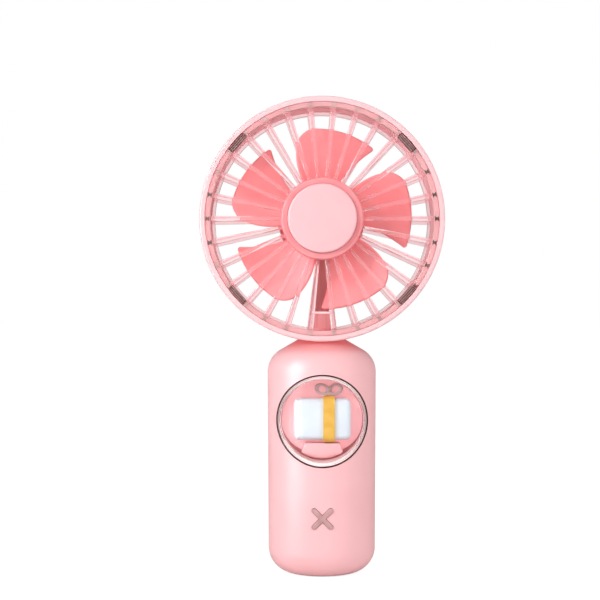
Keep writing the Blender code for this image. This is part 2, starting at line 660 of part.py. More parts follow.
def window():
    face = rods("lens_face", WINDOW_FRONT, 0.0, FAR, [(0.0, 0.0)], 2 * WINDOW_STEPS)
    back = rods("lens_hollow_face", WINDOW_FRONT - LENS_WALL, 0.0, FAR, [(0.0, 0.0)], 2 * WINDOW_STEPS)
    hollow = rods("lens_hollow", LENS_RADIUS - LENS_WALL, 0.0, FAR, [(0.0, 0.0)], WINDOW_STEPS, parent=WINDOW)
    keep(hollow, back)
    lens = rods("window_lens", LENS_RADIUS, LENS_BACK, FAR, [(0.0, 0.0)], WINDOW_STEPS, surface=CLEAR,
                parent=WINDOW)
    keep(lens, face)
    cut(lens, hollow)

    seal_face = rods("seal_face", GRIP_RADIUS, 0.0, FAR, [(0.0, 0.0)], GRIP_STEPS)
    seal = tube("window_seal", WINDOW_RADIUS - SEAT_GAP, LENS_RADIUS + SEAT_GAP, FAR, LENS_BACK,
                WINDOW_STEPS, SEAL, WINDOW)
    keep(seal, seal_face)

    radius = WINDOW_RADIUS - SEAT_GAP
    tray = [(0.0, TRAY_FRONT), (radius, TRAY_FRONT), (radius, TRAY_BACK), (0.0, TRAY_BACK)]
    turned("window_tray", tray, WINDOW_STEPS, PALE, WINDOW)
    ornament()


def ornament():
    # A plain gift box with a ribbon and a bow, on a stand shaped to the pocket.
    half = BOX_WIDTH / 2
    box = block("charm_box", (-half, BOX_LOW, BOX_BACK), (half, BOX_TOP, BOX_BACK + BOX_DEPTH), WHITE, WINDOW)
    rounded(box, BOX_ROUNDING)

    front = BOX_BACK + BOX_DEPTH
    grow = SEAT_GAP + RIBBON_THICKNESS
    ribbon = block("charm_ribbon", (RIBBON_OFFSET - RIBBON_WIDTH / 2, BOX_LOW - grow, BOX_BACK),
                   (RIBBON_OFFSET + RIBBON_WIDTH / 2, BOX_TOP + grow, front + grow), YELLOW, WINDOW)
    ribbon_hollow = block("ribbon_hollow", (-half, BOX_LOW - SEAT_GAP, 0.0),
                          (half, BOX_TOP + SEAT_GAP, front + SEAT_GAP), parent=WINDOW)
    cut(ribbon, ribbon_hollow)

    knot_height = BOX_TOP + grow + SEAT_GAP + BOW_LOOP + BOW_BAND
    middle = BOX_BACK + BOX_DEPTH / 2
    knot = bmesh.new()
    bmesh.ops.create_uvsphere(knot, u_segments=6, v_segments=4, radius=BOW_KNOT,
                              matrix=Matrix.Translation((RIBBON_OFFSET, knot_height, middle)))
    bow = add("charm_bow", mesh_of("charm_bow", knot), FROST, WINDOW)
    for side in (1, -1):
        band = arc((BOW_LOOP, 0.0), BOW_BAND, 90, -270, 4)[:-1]
        loop = turned(f"bow_loop_{side}", band, SMALL_STEPS, parent=WINDOW, ring=True)
        loop.location = (RIBBON_OFFSET + side * BOW_SPREAD, knot_height, middle)
        join(bow, loop)

    radius = LENS_RADIUS - LENS_WALL - SEAT_GAP
    spread = math.degrees(math.asin(STAND_FOOT_WIDTH / 2 / radius))
    top = BOX_LOW - grow - SEAT_GAP
    outline = arc((0.0, 0.0), radius, 270 - spread, 270 + spread, 6)
    outline += [(STAND_TOP_WIDTH / 2, top), (-STAND_TOP_WIDTH / 2, top)]
    stand = plate("charm_stand", outline, BOX_BACK, BOX_BACK + STAND_DEPTH, PINK, WINDOW)
    rounded(stand, BOX_ROUNDING / 2, 1)


def button():
    cross = plate("cross_button", cross_outline(0.0), FLANGE_FRONT - BUTTON_FLANGE_THICKNESS / 2,
                  BUTTON_SIDE + CROSS_PROUD, GREY_ROSE, BUTTON)
    post_end = PLUNGER_FRONT + SEAT_GAP
    flange = [(0.0, FLANGE_FRONT), (BUTTON_FLANGE_RADIUS, FLANGE_FRONT), (BUTTON_FLANGE_RADIUS, FLANGE_BACK),
              (BUTTON_POST_RADIUS, FLANGE_BACK), (BUTTON_POST_RADIUS, post_end), (0.0, post_end)]
    join(cross, turned("button_flange", flange, 2 * SMALL_STEPS, parent=BUTTON))

    well_floor = SWITCH_FRONT - PLUNGER_SUNK - BUTTON_TRAVEL - SEAT_GAP
    half = SWITCH_SIZE / 2
    switch = block("switch_body", (-half, -half, SWITCH_BACK), (half, half, SWITCH_FRONT), BLACK, BUTTON)
    cut(switch, rods("switch_well", PLUNGER_RADIUS + SEAT_GAP, well_floor, FAR, [(0.0, 0.0)], SMALL_STEPS,
                     parent=BUTTON))
    rods("switch_plunger", PLUNGER_RADIUS, SWITCH_FRONT - PLUNGER_SUNK, PLUNGER_FRONT, [(0.0, 0.0)],
         SMALL_STEPS, surface=WHITE, parent=BUTTON)


def control_board():
    half = BOARD_WIDTH / 2
    board = block("main_board", (-half, -BOARD_FRONT, BOARD_FOOT), (half, -BOARD_BACK, BOARD_TOP), BOARD)
    cut(board, rods("board_screw_holes", BOARD_SCREW_RADIUS + SEAT_GAP, -FAR, FAR, board_screw_places(),
                    SMALL_STEPS, "Y"))
    for index, (x, z) in enumerate(board_screw_places()):
        profile = screw_profile(BOARD_SCREW_RADIUS, BOARD_SCREW_HEAD, BOARD_SCREW_HEAD_HEIGHT,
                                BOARD_SCREW_LENGTH)
        screw = turned(f"board_screw_{index + 1}", profile, SMALL_STEPS, STEEL)
        screw.location = (x, SEAT_GAP - BOARD_BACK, z)
        screw.rotation_euler.x = -math.pi / 2

    back = SEAT_GAP - BOARD_BACK
    block("charge_chip", (-CHIP_SIZE / 2, back, CHIP_FOOT),
          (CHIP_SIZE / 2, back + CHIP_DEPTH, CHIP_FOOT + CHIP_SIZE), BLACK)
    rods("power_inductor", INDUCTOR_RADIUS, back, back + INDUCTOR_DEPTH, [(0.0, INDUCTOR_HEIGHT)],
         SMALL_STEPS, "Y", FERRITE)
    led_low = -BOARD_FRONT - SEAT_GAP - LED_DEPTH
    middle = BUTTON_HEIGHT + LED_OFFSET
    block("status_led", (-LED_SIZE / 2, led_low, middle - LED_SIZE / 2),
          (LED_SIZE / 2, led_low + LED_DEPTH, middle + LED_SIZE / 2), WHITE)


def charging_socket():
    socket = plate("usb_shell", stadium(USB_WIDTH, USB_THICKNESS), USB_RECESS, USB_TOP, STEEL)
    hollow = plate("usb_hollow", stadium(USB_WIDTH - 2 * USB_WALL, USB_THICKNESS - 2 * USB_WALL), -FAR,
                   USB_TOP - USB_BACK)
    socket.location.y = -USB_MIDDLE
    hollow.location.y = -USB_MIDDLE
    cut(socket, hollow)
    tongue_top = USB_TOP - USB_BACK - SEAT_GAP
    block("usb_tongue", (-TONGUE_WIDTH / 2, -USB_MIDDLE - TONGUE_THICKNESS / 2, tongue_top - TONGUE_LENGTH),
          (TONGUE_WIDTH / 2, -USB_MIDDLE + TONGUE_THICKNESS / 2, tongue_top), BLACK)


def power_cell():
    neck = CELL_RADIUS - CELL_SHOULDER
    profile = [(0.0, CELL_TOP), (neck, CELL_TOP), (CELL_RADIUS, CELL_TOP - CELL_SHOULDER),
               (CELL_RADIUS, CELL_FOOT + CELL_SHOULDER), (neck, CELL_FOOT), (0.0, CELL_FOOT)]
    turned("battery_cell", profile, HUB_STEPS, SLEEVE).location.y = CELL_Y
    cap_foot = CELL_TOP + SEAT_GAP
    cap_top = cap_foot + CELL_CAP_HEIGHT
    rods("battery_cap", CELL_CAP_RADIUS, cap_foot, cap_top, [(0.0, CELL_Y)], SMALL_STEPS, surface=STEEL)
    for name, foot in (("battery_tab_top", cap_top + SEAT_GAP),
                       ("battery_tab_bottom", CELL_FOOT - SEAT_GAP - TAB_THICKNESS)):
        block(name, (-TAB_WIDTH / 2, CELL_Y - TAB_LENGTH / 2, foot),
              (TAB_WIDTH / 2, CELL_Y + TAB_LENGTH / 2, foot + TAB_THICKNESS), NICKEL)
    pad_foot = INDUCTOR_HEIGHT + INDUCTOR_RADIUS + PAD_LOW_GAP
    block("battery_pad", (-PAD_WIDTH / 2, SEAT_GAP - BOARD_BACK, pad_foot),
          (PAD_WIDTH / 2, CELL_Y - CELL_RADIUS - SEAT_GAP, LEAD_END - PAD_HIGH_GAP), FOAM)


def rib_set(name, inner, outer, hub_faces, rim_faces):
    # Tapered bars between two radii. The faces are the (back, front) depths at each end.
    form = bmesh.new()
    for index in range(RIB_COUNT):
        turn = Matrix.Rotation(2 * math.pi * index / RIB_COUNT, 4, "Z")
        for corner in bmesh.ops.create_cube(form, size=1.0)["verts"]:
            out, across, front = corner.co
            radius, width, faces = ((outer, RIB_RIM_WIDTH, rim_faces) if out > 0
                                    else (inner, RIB_HUB_WIDTH, hub_faces))
            corner.co = turn @ Vector((radius, across * width, faces[front > 0]))
    return add(name, mesh_of(name, form), parent=HEAD)


def head_hoop():
    ledge = HOOP_BORE - LEDGE_WIDTH
    front_ledge = FRONT_RIM_BACK - SEAT_GAP
    rear_ledge = REAR_RIM_FRONT + SEAT_GAP
    rim_front = arc((HOOP_RADIUS - HOOP_EDGE, HOOP_FRONT - HOOP_EDGE), HOOP_EDGE, 90, 0, 2)
    rim_rear = arc((HOOP_RADIUS - HOOP_EDGE, HOOP_REAR + HOOP_EDGE), HOOP_EDGE, 0, -90, 2)
    inside = [(HOOP_BORE, HOOP_REAR), (HOOP_BORE, rear_ledge), (ledge, rear_ledge),
              (ledge, rear_ledge + LEDGE_DEPTH), (HOOP_BORE, rear_ledge + LEDGE_DEPTH + LEDGE_WIDTH),
              (HOOP_BORE, front_ledge - LEDGE_DEPTH - LEDGE_WIDTH), (ledge, front_ledge - LEDGE_DEPTH),
              (ledge, front_ledge), (HOOP_BORE, front_ledge), (HOOP_BORE, HOOP_FRONT)]
    hoop = turned("head_hoop", rim_front + rim_rear + inside, HEAD_STEPS, GUARD, HEAD, ring=True)
    half = STRUT_RIM_WIDTH / 2 + SEAT_GAP
    strut_notch = block("strut_notch", (-half, -STRUT_FOOT - SEAT_GAP, STRUT_REAR - SEAT_GAP),
                        (half, 0.0, FOOT_FRONT + SEAT_GAP), parent=HEAD)
    stem_pass = rods("stem_pass", STEM_RADIUS + SEAT_GAP, 0.0, HEAD_HEIGHT, [(0.0, 0.0)], HUB_STEPS)
    cut(hoop, strut_notch, stem_pass)


def front_grille():
    rim = tube("front_grille", RIM_RADIUS, RIM_RADIUS - FRONT_RIM_WIDTH, FRONT_RIM_FACE, FRONT_RIM_BACK,
               HEAD_STEPS, GUARD, HEAD)
    wall = CAP_RADIUS + SEAT_GAP
    peg_hole = CAP_PEG + SEAT_GAP
    profile = [(wall, FRONT_HUB_FACE), (FRONT_HUB_RADIUS - CAP_EDGE, FRONT_HUB_FACE),
               (FRONT_HUB_RADIUS, FRONT_HUB_FACE - CAP_EDGE), (FRONT_HUB_RADIUS, FRONT_RIM_BACK),
               (peg_hole, FRONT_RIM_BACK), (peg_hole, HUB_FLOOR_FACE), (wall, HUB_FLOOR_FACE)]
    hub = turned("front_hub", profile, RIB_COUNT, parent=HEAD, ring=True)
    back = FRONT_RIM_BACK + SEAT_GAP
    ribs = rib_set("front_ribs", FRONT_HUB_RADIUS - CAP_EDGE, RIM_RADIUS - FRONT_RIM_WIDTH / 2,
                   (back, back + RIB_HUB_DEPTH), (back, back + RIB_RIM_DEPTH))
    half = BRIDGE_RADIUS * math.sin(math.pi / RIB_COUNT)
    bridge = block("strut_bridge", (-half, -BRIDGE_RADIUS - BRIDGE_HEIGHT, back + SEAT_GAP),
                   (half, -BRIDGE_RADIUS, back + RIB_RIM_DEPTH), parent=HEAD)
    join(rim, hub, ribs, bridge)

    notch = CLIP_WIDTH / 2 + SEAT_GAP
    for index, turn in enumerate(clip_turns()):
        notch_block = block(f"clip_notch_{index + 1}", (RIM_RADIUS - CLIP_HEIGHT - SEAT_GAP, -notch, 0.0),
                            (HOOP_RADIUS, notch, FAR), parent=HEAD)
        notch_block.rotation_euler.z = turn
        cut(rim, notch_block)
        out = math.sqrt(RIM_RADIUS ** 2 - (CLIP_WIDTH / 2) ** 2)
        low = (out - CLIP_HEIGHT + SEAT_GAP, -CLIP_WIDTH / 2, FRONT_RIM_BACK)
        clip = block(f"guard_clip_{index + 1}", low, (out, CLIP_WIDTH / 2, FRONT_RIM_BACK + CLIP_DEPTH),
                     SMOKE, HEAD)
        clip.rotation_euler.z = turn

    edge = arc((CAP_RADIUS - CAP_EDGE, CAP_FACE - CAP_EDGE), CAP_EDGE, 90, 0, 2)
    cap = [(0.0, CAP_FACE)] + edge
    cap += [(CAP_RADIUS, CAP_BACK), (CAP_PEG, CAP_BACK), (CAP_PEG, FRONT_RIM_BACK), (0.0, FRONT_RIM_BACK)]
    turned("grille_cap", cap, HEAD_STEPS // 2, PALE, HEAD)


def clip_turns():
    # A clip stands in the gap between two ribs that is nearest to each diagonal.
    gaps = [RIB_COUNT * (index + 0.5) / CLIP_COUNT - 0.5 for index in range(CLIP_COUNT)]
    return [2 * math.pi * (round(gap) + 0.5) / RIB_COUNT for gap in gaps]


def rear_grille():
    rim = tube("rear_grille", RIM_RADIUS, RIM_RADIUS - REAR_RIM_WIDTH, REAR_RIM_FRONT, REAR_RIM_BACK,
               HEAD_STEPS, GUARD, HEAD)
    hub = tube("rear_hub", REAR_HUB_RADIUS, REAR_HUB_BORE, REAR_HUB_FRONT, REAR_HUB_BACK, RIB_COUNT,
               parent=HEAD)
    back = REAR_RIM_BACK + SEAT_GAP
    ribs = rib_set("rear_ribs", REAR_HUB_RADIUS - REAR_HUB_WIDTH / 2, RIM_RADIUS - REAR_RIM_WIDTH / 2,
                   (REAR_HUB_BACK + SEAT_GAP, REAR_HUB_FRONT - SEAT_GAP), (back, back + RIB_RIM_DEPTH))
    join(rim, hub, ribs)
    spigot = CUP_HOLE - SEAT_GAP
    back_face = COVER_FRONT - COVER_DEPTH
    cover = [(0.0, CUP_FLOOR_FACE), (spigot, CUP_FLOOR_FACE), (spigot, COVER_FRONT),
             (COVER_RADIUS, COVER_FRONT)]
    cover += arc((COVER_RADIUS - CAP_EDGE, back_face + CAP_EDGE), CAP_EDGE, 0, -90, 2) + [(0.0, back_face)]
    turned("motor_cover", cover, HEAD_STEPS // 2, PALE, HEAD)


def fan_rotor():
    ceiling = ROTOR_FRONT - ROTOR_HUB_WALL
    boss_end = ROTOR_FRONT - ROTOR_BOSS_DEPTH
    shaft_hole = SHAFT_RADIUS + SHAFT_FIT
    hub = [(ROTOR_HUB_RADIUS - ROTOR_CHAMFER, ROTOR_FRONT), (ROTOR_HUB_RADIUS, ROTOR_FRONT - ROTOR_CHAMFER),
           (ROTOR_HUB_RADIUS, ROTOR_REAR), (ROTOR_BORE, ROTOR_REAR), (ROTOR_BORE, ceiling),
           (ROTOR_BOSS_RADIUS, ceiling), (ROTOR_BOSS_RADIUS, boss_end), (shaft_hole, boss_end),
           (shaft_hole, ROTOR_FRONT)]
    rotor = turned("fan_rotor", hub, HUB_STEPS, CORAL, HEAD, ring=True)
    form = bmesh.new()
    for index in range(BLADE_COUNT):
        turn = Matrix.Rotation(2 * math.pi * index / BLADE_COUNT, 4, "Z")
        for point in bmesh.ops.create_grid(form, x_segments=8, y_segments=5, size=0.5)["verts"]:
            chord = (1 - math.cos(math.pi * (point.co.x + 0.5))) / 2
            point.co = turn @ blade_point(chord, point.co.y + 0.5)
    blades = add("blades", mesh_of("blades", form), parent=HEAD)
    wall = blades.modifiers.new("Thickness", "SOLIDIFY")
    wall.thickness = BLADE_THICKNESS
    wall.offset = 0.0
    join(rotor, blades)


def blade_point(chord, span):
    # A point of the blade's middle surface: chord 0 to 1 from the trailing edge in front to the leading edge
    # behind, span 0 to 1 from the root.
    length = BLADE_TIP_RADIUS - BLADE_ROOT
    width = BLADE_TIP_RADIUS * (BLADE_TRAIL_ANGLE - BLADE_LEAD_ANGLE)
    reach = 1 - BLADE_TIP_FALL / length * chord
    for radius, distance in ((BLADE_ROUNDING, chord * width), (BLADE_POINT, (1 - chord) * width)):
        if distance < radius:
            reach -= (radius - math.sqrt(radius ** 2 - (radius - distance) ** 2)) / length
    span = span * reach
    trail = BLADE_TRAIL_ANGLE - BLADE_TRAIL_SWEEP * span ** 2
    lead = BLADE_LEAD_ANGLE - BLADE_LEAD_SWEEP * span
    angle = trail + (lead - trail) * chord
    radius = BLADE_ROOT + length * span
    rear = ROTOR_REAR + BLADE_THICKNESS
    front = ROTOR_FRONT - ROTOR_CHAMFER - BLADE_THICKNESS
    fall = chord + BLADE_CAMBER * chord * (1 - chord)
    return Vector((radius * math.cos(angle), radius * math.sin(angle), front + (rear - front) * fall))


def motor():
    bush_hole = BUSH_RADIUS + SEAT_GAP
    shaft_hole = SHAFT_RADIUS + SHAFT_FIT
    can = [(MOTOR_RADIUS - MOTOR_WALL, MOTOR_FRONT), (MOTOR_RADIUS, MOTOR_FRONT - MOTOR_WALL),
           (MOTOR_RADIUS, MOTOR_REAR), (MOTOR_BORE, MOTOR_REAR), (MOTOR_BORE, MOTOR_FRONT - MOTOR_WALL),
           (bush_hole, MOTOR_FRONT - MOTOR_WALL), (bush_hole, MOTOR_FRONT)]
    turned("motor_can", can, HUB_STEPS, STEEL, HEAD, ring=True)
    tube("motor_bush", BUSH_RADIUS, shaft_hole, MOTOR_FRONT + BUSH_PROUD, BUSH_BACK, SMALL_STEPS, BRONZE,
         HEAD)
    tube("motor_magnet", MAGNET_RADIUS, MAGNET_RADIUS - MAGNET_WALL, MAGNET_FRONT,
         MAGNET_FRONT - MAGNET_LENGTH, HUB_STEPS, FERRITE, HEAD)
    rods("motor_shaft", SHAFT_RADIUS, SHAFT_BACK, SHAFT_FRONT, [(0.0, 0.0)], SMALL_STEPS, surface=STEEL,
         parent=HEAD)

    core = tube("motor_armature", CORE_RADIUS, shaft_hole, CORE_FRONT, CORE_BACK, SMALL_STEPS, COPPER, HEAD)
    inner = CORE_OUTER - POLE_TIP
    half = POLE_NECK / 2
    shoe = arc((0.0, 0.0), CORE_OUTER, -POLE_SPREAD, POLE_SPREAD, 6)
    edge = arc((0.0, 0.0), inner, POLE_SPREAD, -POLE_SPREAD, 1)
    outline = [(CORE_RADIUS - half, -half), (inner - half, -half), edge[1]] + shoe
    outline += [edge[0], (inner - half, half), (CORE_RADIUS - half, half)]
    for index in range(POLE_COUNT):
        pole = plate(f"pole_{index + 1}", outline, CORE_BACK, CORE_FRONT, parent=HEAD)
        pole.rotation_euler.z = 2 * math.pi * index / POLE_COUNT
        join(core, pole)
    tube("motor_commutator", COMMUTATOR_RADIUS, shaft_hole, COMMUTATOR_FRONT,
         COMMUTATOR_FRONT - COMMUTATOR_LENGTH, SMALL_STEPS, COPPER, HEAD)

    bell_radius = MOTOR_BORE - SEAT_GAP
    boss_back = MOTOR_REAR - BELL_BOSS_HEIGHT
    bell = [(bell_radius, BELL_FRONT), (bell_radius, MOTOR_REAR), (BELL_BOSS_RADIUS, MOTOR_REAR),
            (BELL_BOSS_RADIUS, boss_back), (shaft_hole, boss_back), (shaft_hole, BELL_FRONT)]
    turned("motor_end_bell", bell, HUB_STEPS, WHITE, HEAD, ring=True)
    for index, side in enumerate((1, -1)):
        middle = side * TERMINAL_OFFSET
        back = MOTOR_REAR - SEAT_GAP
        low = (middle - TERMINAL_WIDTH / 2, -TERMINAL_THICKNESS / 2, back - TERMINAL_LENGTH)
        high = (middle + TERMINAL_WIDTH / 2, TERMINAL_THICKNESS / 2, back)
        block(f"motor_terminal_{index + 1}", low, high, COPPER, HEAD)


def motor_bracket():
    ledge = CUP_BORE - CUP_LEDGE
    cup = [(CUP_RADIUS, CUP_FRONT), (CUP_RADIUS, CUP_REAR), (CUP_HOLE, CUP_REAR), (CUP_HOLE, CUP_FLOOR_FACE),
           (ledge, CUP_FLOOR_FACE), (ledge, CUP_SEAT), (CUP_BORE, CUP_SEAT), (CUP_BORE, CUP_FRONT)]
    bracket = turned("motor_bracket", cup, HUB_STEPS, STRUT, HEAD, ring=True)

    top = CUP_BORE + CUP_WALL / 2
    share = (FOOT_TOP_RADIUS - top) / (STRUT_FOOT - top)
    foot_width = STRUT_HUB_WIDTH + (STRUT_RIM_WIDTH - STRUT_HUB_WIDTH) * share
    strut = plate("strut", taper(STRUT_HUB_WIDTH, top, STRUT_RIM_WIDTH, STRUT_FOOT), STRUT_REAR,
                  CUP_FRONT - SEAT_GAP, parent=HEAD)
    foot = plate("strut_foot", taper(foot_width - SEAT_GAP, FOOT_TOP_RADIUS, STRUT_RIM_WIDTH - SEAT_GAP,
                                     STRUT_FOOT - SEAT_GAP),
                 STRUT_REAR + SEAT_GAP, FOOT_FRONT, parent=HEAD)
    stem_top = HEAD_HEIGHT - STRUT_FOOT + CUP_WALL
    profile = [(0.0, stem_top), (STEM_RADIUS, stem_top), (STEM_RADIUS, FLANGE_TOP),
               (STEM_FLANGE_RADIUS, FLANGE_TOP), (STEM_FLANGE_RADIUS, FLANGE_FOOT), (0.0, FLANGE_FOOT)]
    stem = turned("stem", profile, HUB_STEPS)
    pocket_top = STRUT_FOOT - WIRE_POCKET
    bore = rods("stem_bore", STEM_BORE, 0.0, HEAD_HEIGHT - pocket_top, [(0.0, 0.0)], SMALL_STEPS)
    half = WIRE_SLOT / 2
    slot_front = STRUT_REAR + WIRE_SLOT_DEPTH
    wire_slot = block("wire_slot", (-half, -pocket_top, -FAR), (half, -REAR_HUB_BORE, slot_front),
                      parent=HEAD)
    wire_pocket = block("wire_pocket", (-half, stem_top - HEAD_HEIGHT - SEAT_GAP, -FAR),
                        (half, SEAT_GAP - pocket_top, 0.0), parent=HEAD)
    wire_outlet = block("wire_outlet", (-half, -REAR_HUB_RADIUS, CUP_FLOOR_FACE + SEAT_GAP),
                        (half, CUP_WALL - ledge, slot_front), parent=HEAD)
    join(bracket, strut, foot, stem)
    cut(bracket, bore, wire_slot, wire_pocket, wire_outlet)


def taper(top_width, top_radius, foot_width, foot_radius):
    # A strut's outline, which hangs down from the head's axis.
    return [(-top_width / 2, -top_radius), (top_width / 2, -top_radius),
            (foot_width / 2, -foot_radius), (-foot_width / 2, -foot_radius)]


def cables():
    axis = HEAD_HEIGHT
    slot = -STRUT_REAR - CABLE_RADIUS - SEAT_GAP
    stem_top = axis - STRUT_FOOT + CUP_WALL
    room = (CELL_Y - math.sqrt(CELL_RADIUS ** 2 - CABLE_SIDE ** 2) - TRAY_BACK) / 2
    bend = axis - STRUT_FOOT + WIRE_POCKET + CUP_WALL / 2
    board = SEAT_GAP + CABLE_RADIUS - BOARD_BACK
    landing = BOARD_SCREW_X - BOARD_SCREW_HEAD - 3 * CABLE_RADIUS
    cable("motor_cable", [
        (0.0, -CUP_FLOOR_FACE - 2 * CABLE_RADIUS, axis - TERMINAL_OFFSET),
        (0.0, -CUP_FLOOR_FACE - 2 * CABLE_RADIUS, axis - MOTOR_BORE),
        (0.0, -MOTOR_REAR, axis - CUP_BORE - CUP_WALL / 2),
        (0.0, slot + CABLE_RADIUS, axis - REAR_HUB_BORE - SEAT_GAP),
        (0.0, slot, axis - REAR_HUB_RADIUS - SEAT_GAP),
        (0.0, slot, bend),
        (0.0, slot / 2, (stem_top + bend) / 2),
        (0.0, 0.0, stem_top - STEM_RADIUS / 2),
        (0.0, 0.0, FLANGE_FOOT),
        (0.0, 0.0, SHELF_TOP - SHELF_THICKNESS),
        (CABLE_SIDE / 2, room, CELL_TOP + CABLE_RADIUS),
        (CABLE_SIDE, room, CELL_TOP - CELL_RADIUS),
        (CABLE_SIDE, room, WINDOW_HEIGHT),
        (CABLE_SIDE, room, BOARD_TOP + CELL_RADIUS),
        (landing, board, LEAD_END),
    ])
    cap_top = CELL_TOP + CELL_CAP_HEIGHT + SEAT_GAP
    cable("battery_cable", [
        (0.0, CELL_Y - TAB_LENGTH / 2 - CABLE_RADIUS - SEAT_GAP, cap_top + TAB_THICKNESS),
        (-CABLE_SIDE / 2, room, cap_top),
        (-CABLE_SIDE, room, CELL_TOP - CELL_RADIUS),
        (-CABLE_SIDE, room, WINDOW_HEIGHT),
        (-CABLE_SIDE, room, BOARD_TOP + CELL_RADIUS),
        (-landing, board, LEAD_END),
    ])


grip_shells()
window()
button()
control_board()
charging_socket()
power_cell()
head_hoop()
front_grille()
rear_grille()
fan_rotor()
motor()
motor_bracket()
cables()
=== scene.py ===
# Handheld fan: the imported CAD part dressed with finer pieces, materials, light and a camera.
import math

import bmesh
import bpy
from mathutils import Matrix, Vector


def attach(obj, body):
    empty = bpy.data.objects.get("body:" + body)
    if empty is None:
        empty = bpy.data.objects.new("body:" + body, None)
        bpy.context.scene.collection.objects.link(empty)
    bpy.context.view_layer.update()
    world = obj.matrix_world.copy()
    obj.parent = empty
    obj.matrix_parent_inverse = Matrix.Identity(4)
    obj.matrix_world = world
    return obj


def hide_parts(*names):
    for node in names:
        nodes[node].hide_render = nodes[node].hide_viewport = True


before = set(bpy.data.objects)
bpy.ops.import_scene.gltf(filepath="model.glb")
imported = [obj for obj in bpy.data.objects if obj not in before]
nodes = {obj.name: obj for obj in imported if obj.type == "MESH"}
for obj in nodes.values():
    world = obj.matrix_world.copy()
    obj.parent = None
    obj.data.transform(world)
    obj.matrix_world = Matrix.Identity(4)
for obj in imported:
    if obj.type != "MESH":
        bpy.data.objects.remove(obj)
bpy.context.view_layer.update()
mm = 0.001
far = 190.0                  # mm, beyond every face of the part

# Sizes that several pieces share, in mm. Depths run forward, towards -Y.
fan = dict(
    headHeight=138.9327,     # axis of the rotor
    windowHeight=60.9,
    buttonHeight=23.6,
    gripRadius=21.4,
    rimFace=13.6,            # front of the front grille's rim
    rimBack=10.0,
    ribCount=30,
    ringRounding=0.3,        # of the grilles' rims and the rear hub
    steps=160,               # round the window, the hubs, the cap and the cover
)


# Small tools

def hexColour(text):
    parts = [int(text[i:i + 2], 16) / 255 for i in (1, 3, 5)]
    return (*[c / 12.92 if c <= 0.04045 else ((c + 0.055) / 1.055) ** 2.4 for c in parts], 1.0)


def feed(tree, node, sources):
    # Sets or links sockets. A node that is given as a source stands for its first output.
    for socket, source in sources.items():
        if isinstance(source, bpy.types.Node):
            source = source.outputs[0]
        if isinstance(source, bpy.types.NodeSocket):
            tree.links.new(source, node.inputs[socket])
        else:
            node.inputs[socket].default_value = source


def addNode(tree, kind, sources=None, **settings):
    made = tree.nodes.new(kind)
    for name, value in settings.items():
        setattr(made, name, value)
    feed(tree, made, sources or {})
    return made


def reckon(tree, operation, *values):
    # One step of arithmetic.
    return addNode(tree, "ShaderNodeMath", dict(enumerate(values)), operation=operation)


def facing(x, y, z):
    # Local Z points forward and local Y up, with the origin at a place in mm.
    return Matrix.Translation(Vector((x, y, z)) * mm) @ Matrix.Rotation(math.pi / 2, 4, "X")


head = facing(0, 0, fan["headHeight"])
windowPlace = facing(0, 0, fan["windowHeight"])
buttonPlace = facing(0, 0, fan["buttonHeight"])
spare = []                   # objects that only cut others or are copied, removed at the end


def addItem(name, mesh):
    item = bpy.data.objects.new(name, mesh)
    bpy.context.scene.collection.objects.link(item)
    spare.append(item)
    return item


def smooth(mesh, angle):
    mesh.shade_smooth()
    mesh.set_sharp_from_angle(angle=math.radians(angle))
    return mesh


def makeItem(name, form, place=None, angle=30):
    # Turns a bmesh in mm into an object whose place is in its mesh.
    bmesh.ops.scale(form, vec=(mm, mm, mm), verts=form.verts)
    bmesh.ops.transform(form, matrix=place or Matrix.Identity(4), verts=form.verts)
    mesh = bpy.data.meshes.new(name)
    form.to_mesh(mesh)
    form.free()
    return addItem(name, smooth(mesh, angle))


def skin(name, rings, place=None, closed=False, angle=30):
    # A surface through rings of points. A ring of one point is a pole.
    form = bmesh.new()
    rows = [[form.verts.new(point) for point in ring] for ring in rings]
    pairs = list(zip(rows, rows[1:]))
    if closed:
        pairs.append((rows[-1], rows[0]))
    for low, high in pairs:
        for i in range(max(len(low), len(high))):
            j = i + 1
            corners = [low[i % len(low)], low[j % len(low)], high[j % len(high)], high[i % len(high)]]
            form.faces.new(list(dict.fromkeys(corners)))
    bmesh.ops.recalc_face_normals(form, faces=form.faces)
    return makeItem(name, form, place, angle)


def circle(radius, height, steps):
    if radius < 0.001:
        return [(0.0, 0.0, height)]
    turns = [2 * math.pi * i / steps for i in range(steps)]
    return [(radius * math.cos(t), radius * math.sin(t), height) for t in turns]


def turned(name, profile, steps, place=None, closed=False):
    return skin(name, [circle(radius, height, steps) for radius, height in profile], place, closed)


def pillar(name, radius, low, high, steps, place=None):
    return turned(name, [(0, high), (radius, high), (radius, low), (0, low)], steps, place)


def arc(centre, radius, start, end, steps):
    turns = [math.radians(start + (end - start) * i / steps) for i in range(steps + 1)]
    return [(centre[0] + radius * math.cos(t), centre[1] + radius * math.sin(t)) for t in turns]


def softened(points, size, steps=4, closed=True):
    # Rounds the corners of an outline.
    points = [Vector(point) for point in points]
    made = []
    for i, corner in enumerate(points):
        if not closed and i in (0, len(points) - 1):
            made.append(tuple(corner))
            continue
        ends = []
        for other in (points[i - 1], points[(i + 1) % len(points)]):
            away = other - corner
            ends.append(corner + away.normalized() * min(size, away.length / 2))
        for k in range(steps + 1):
            t = k / steps
            made.append(tuple((1 - t) ** 2 * ends[0] + 2 * t * (1 - t) * corner + t ** 2 * ends[1]))
    return made


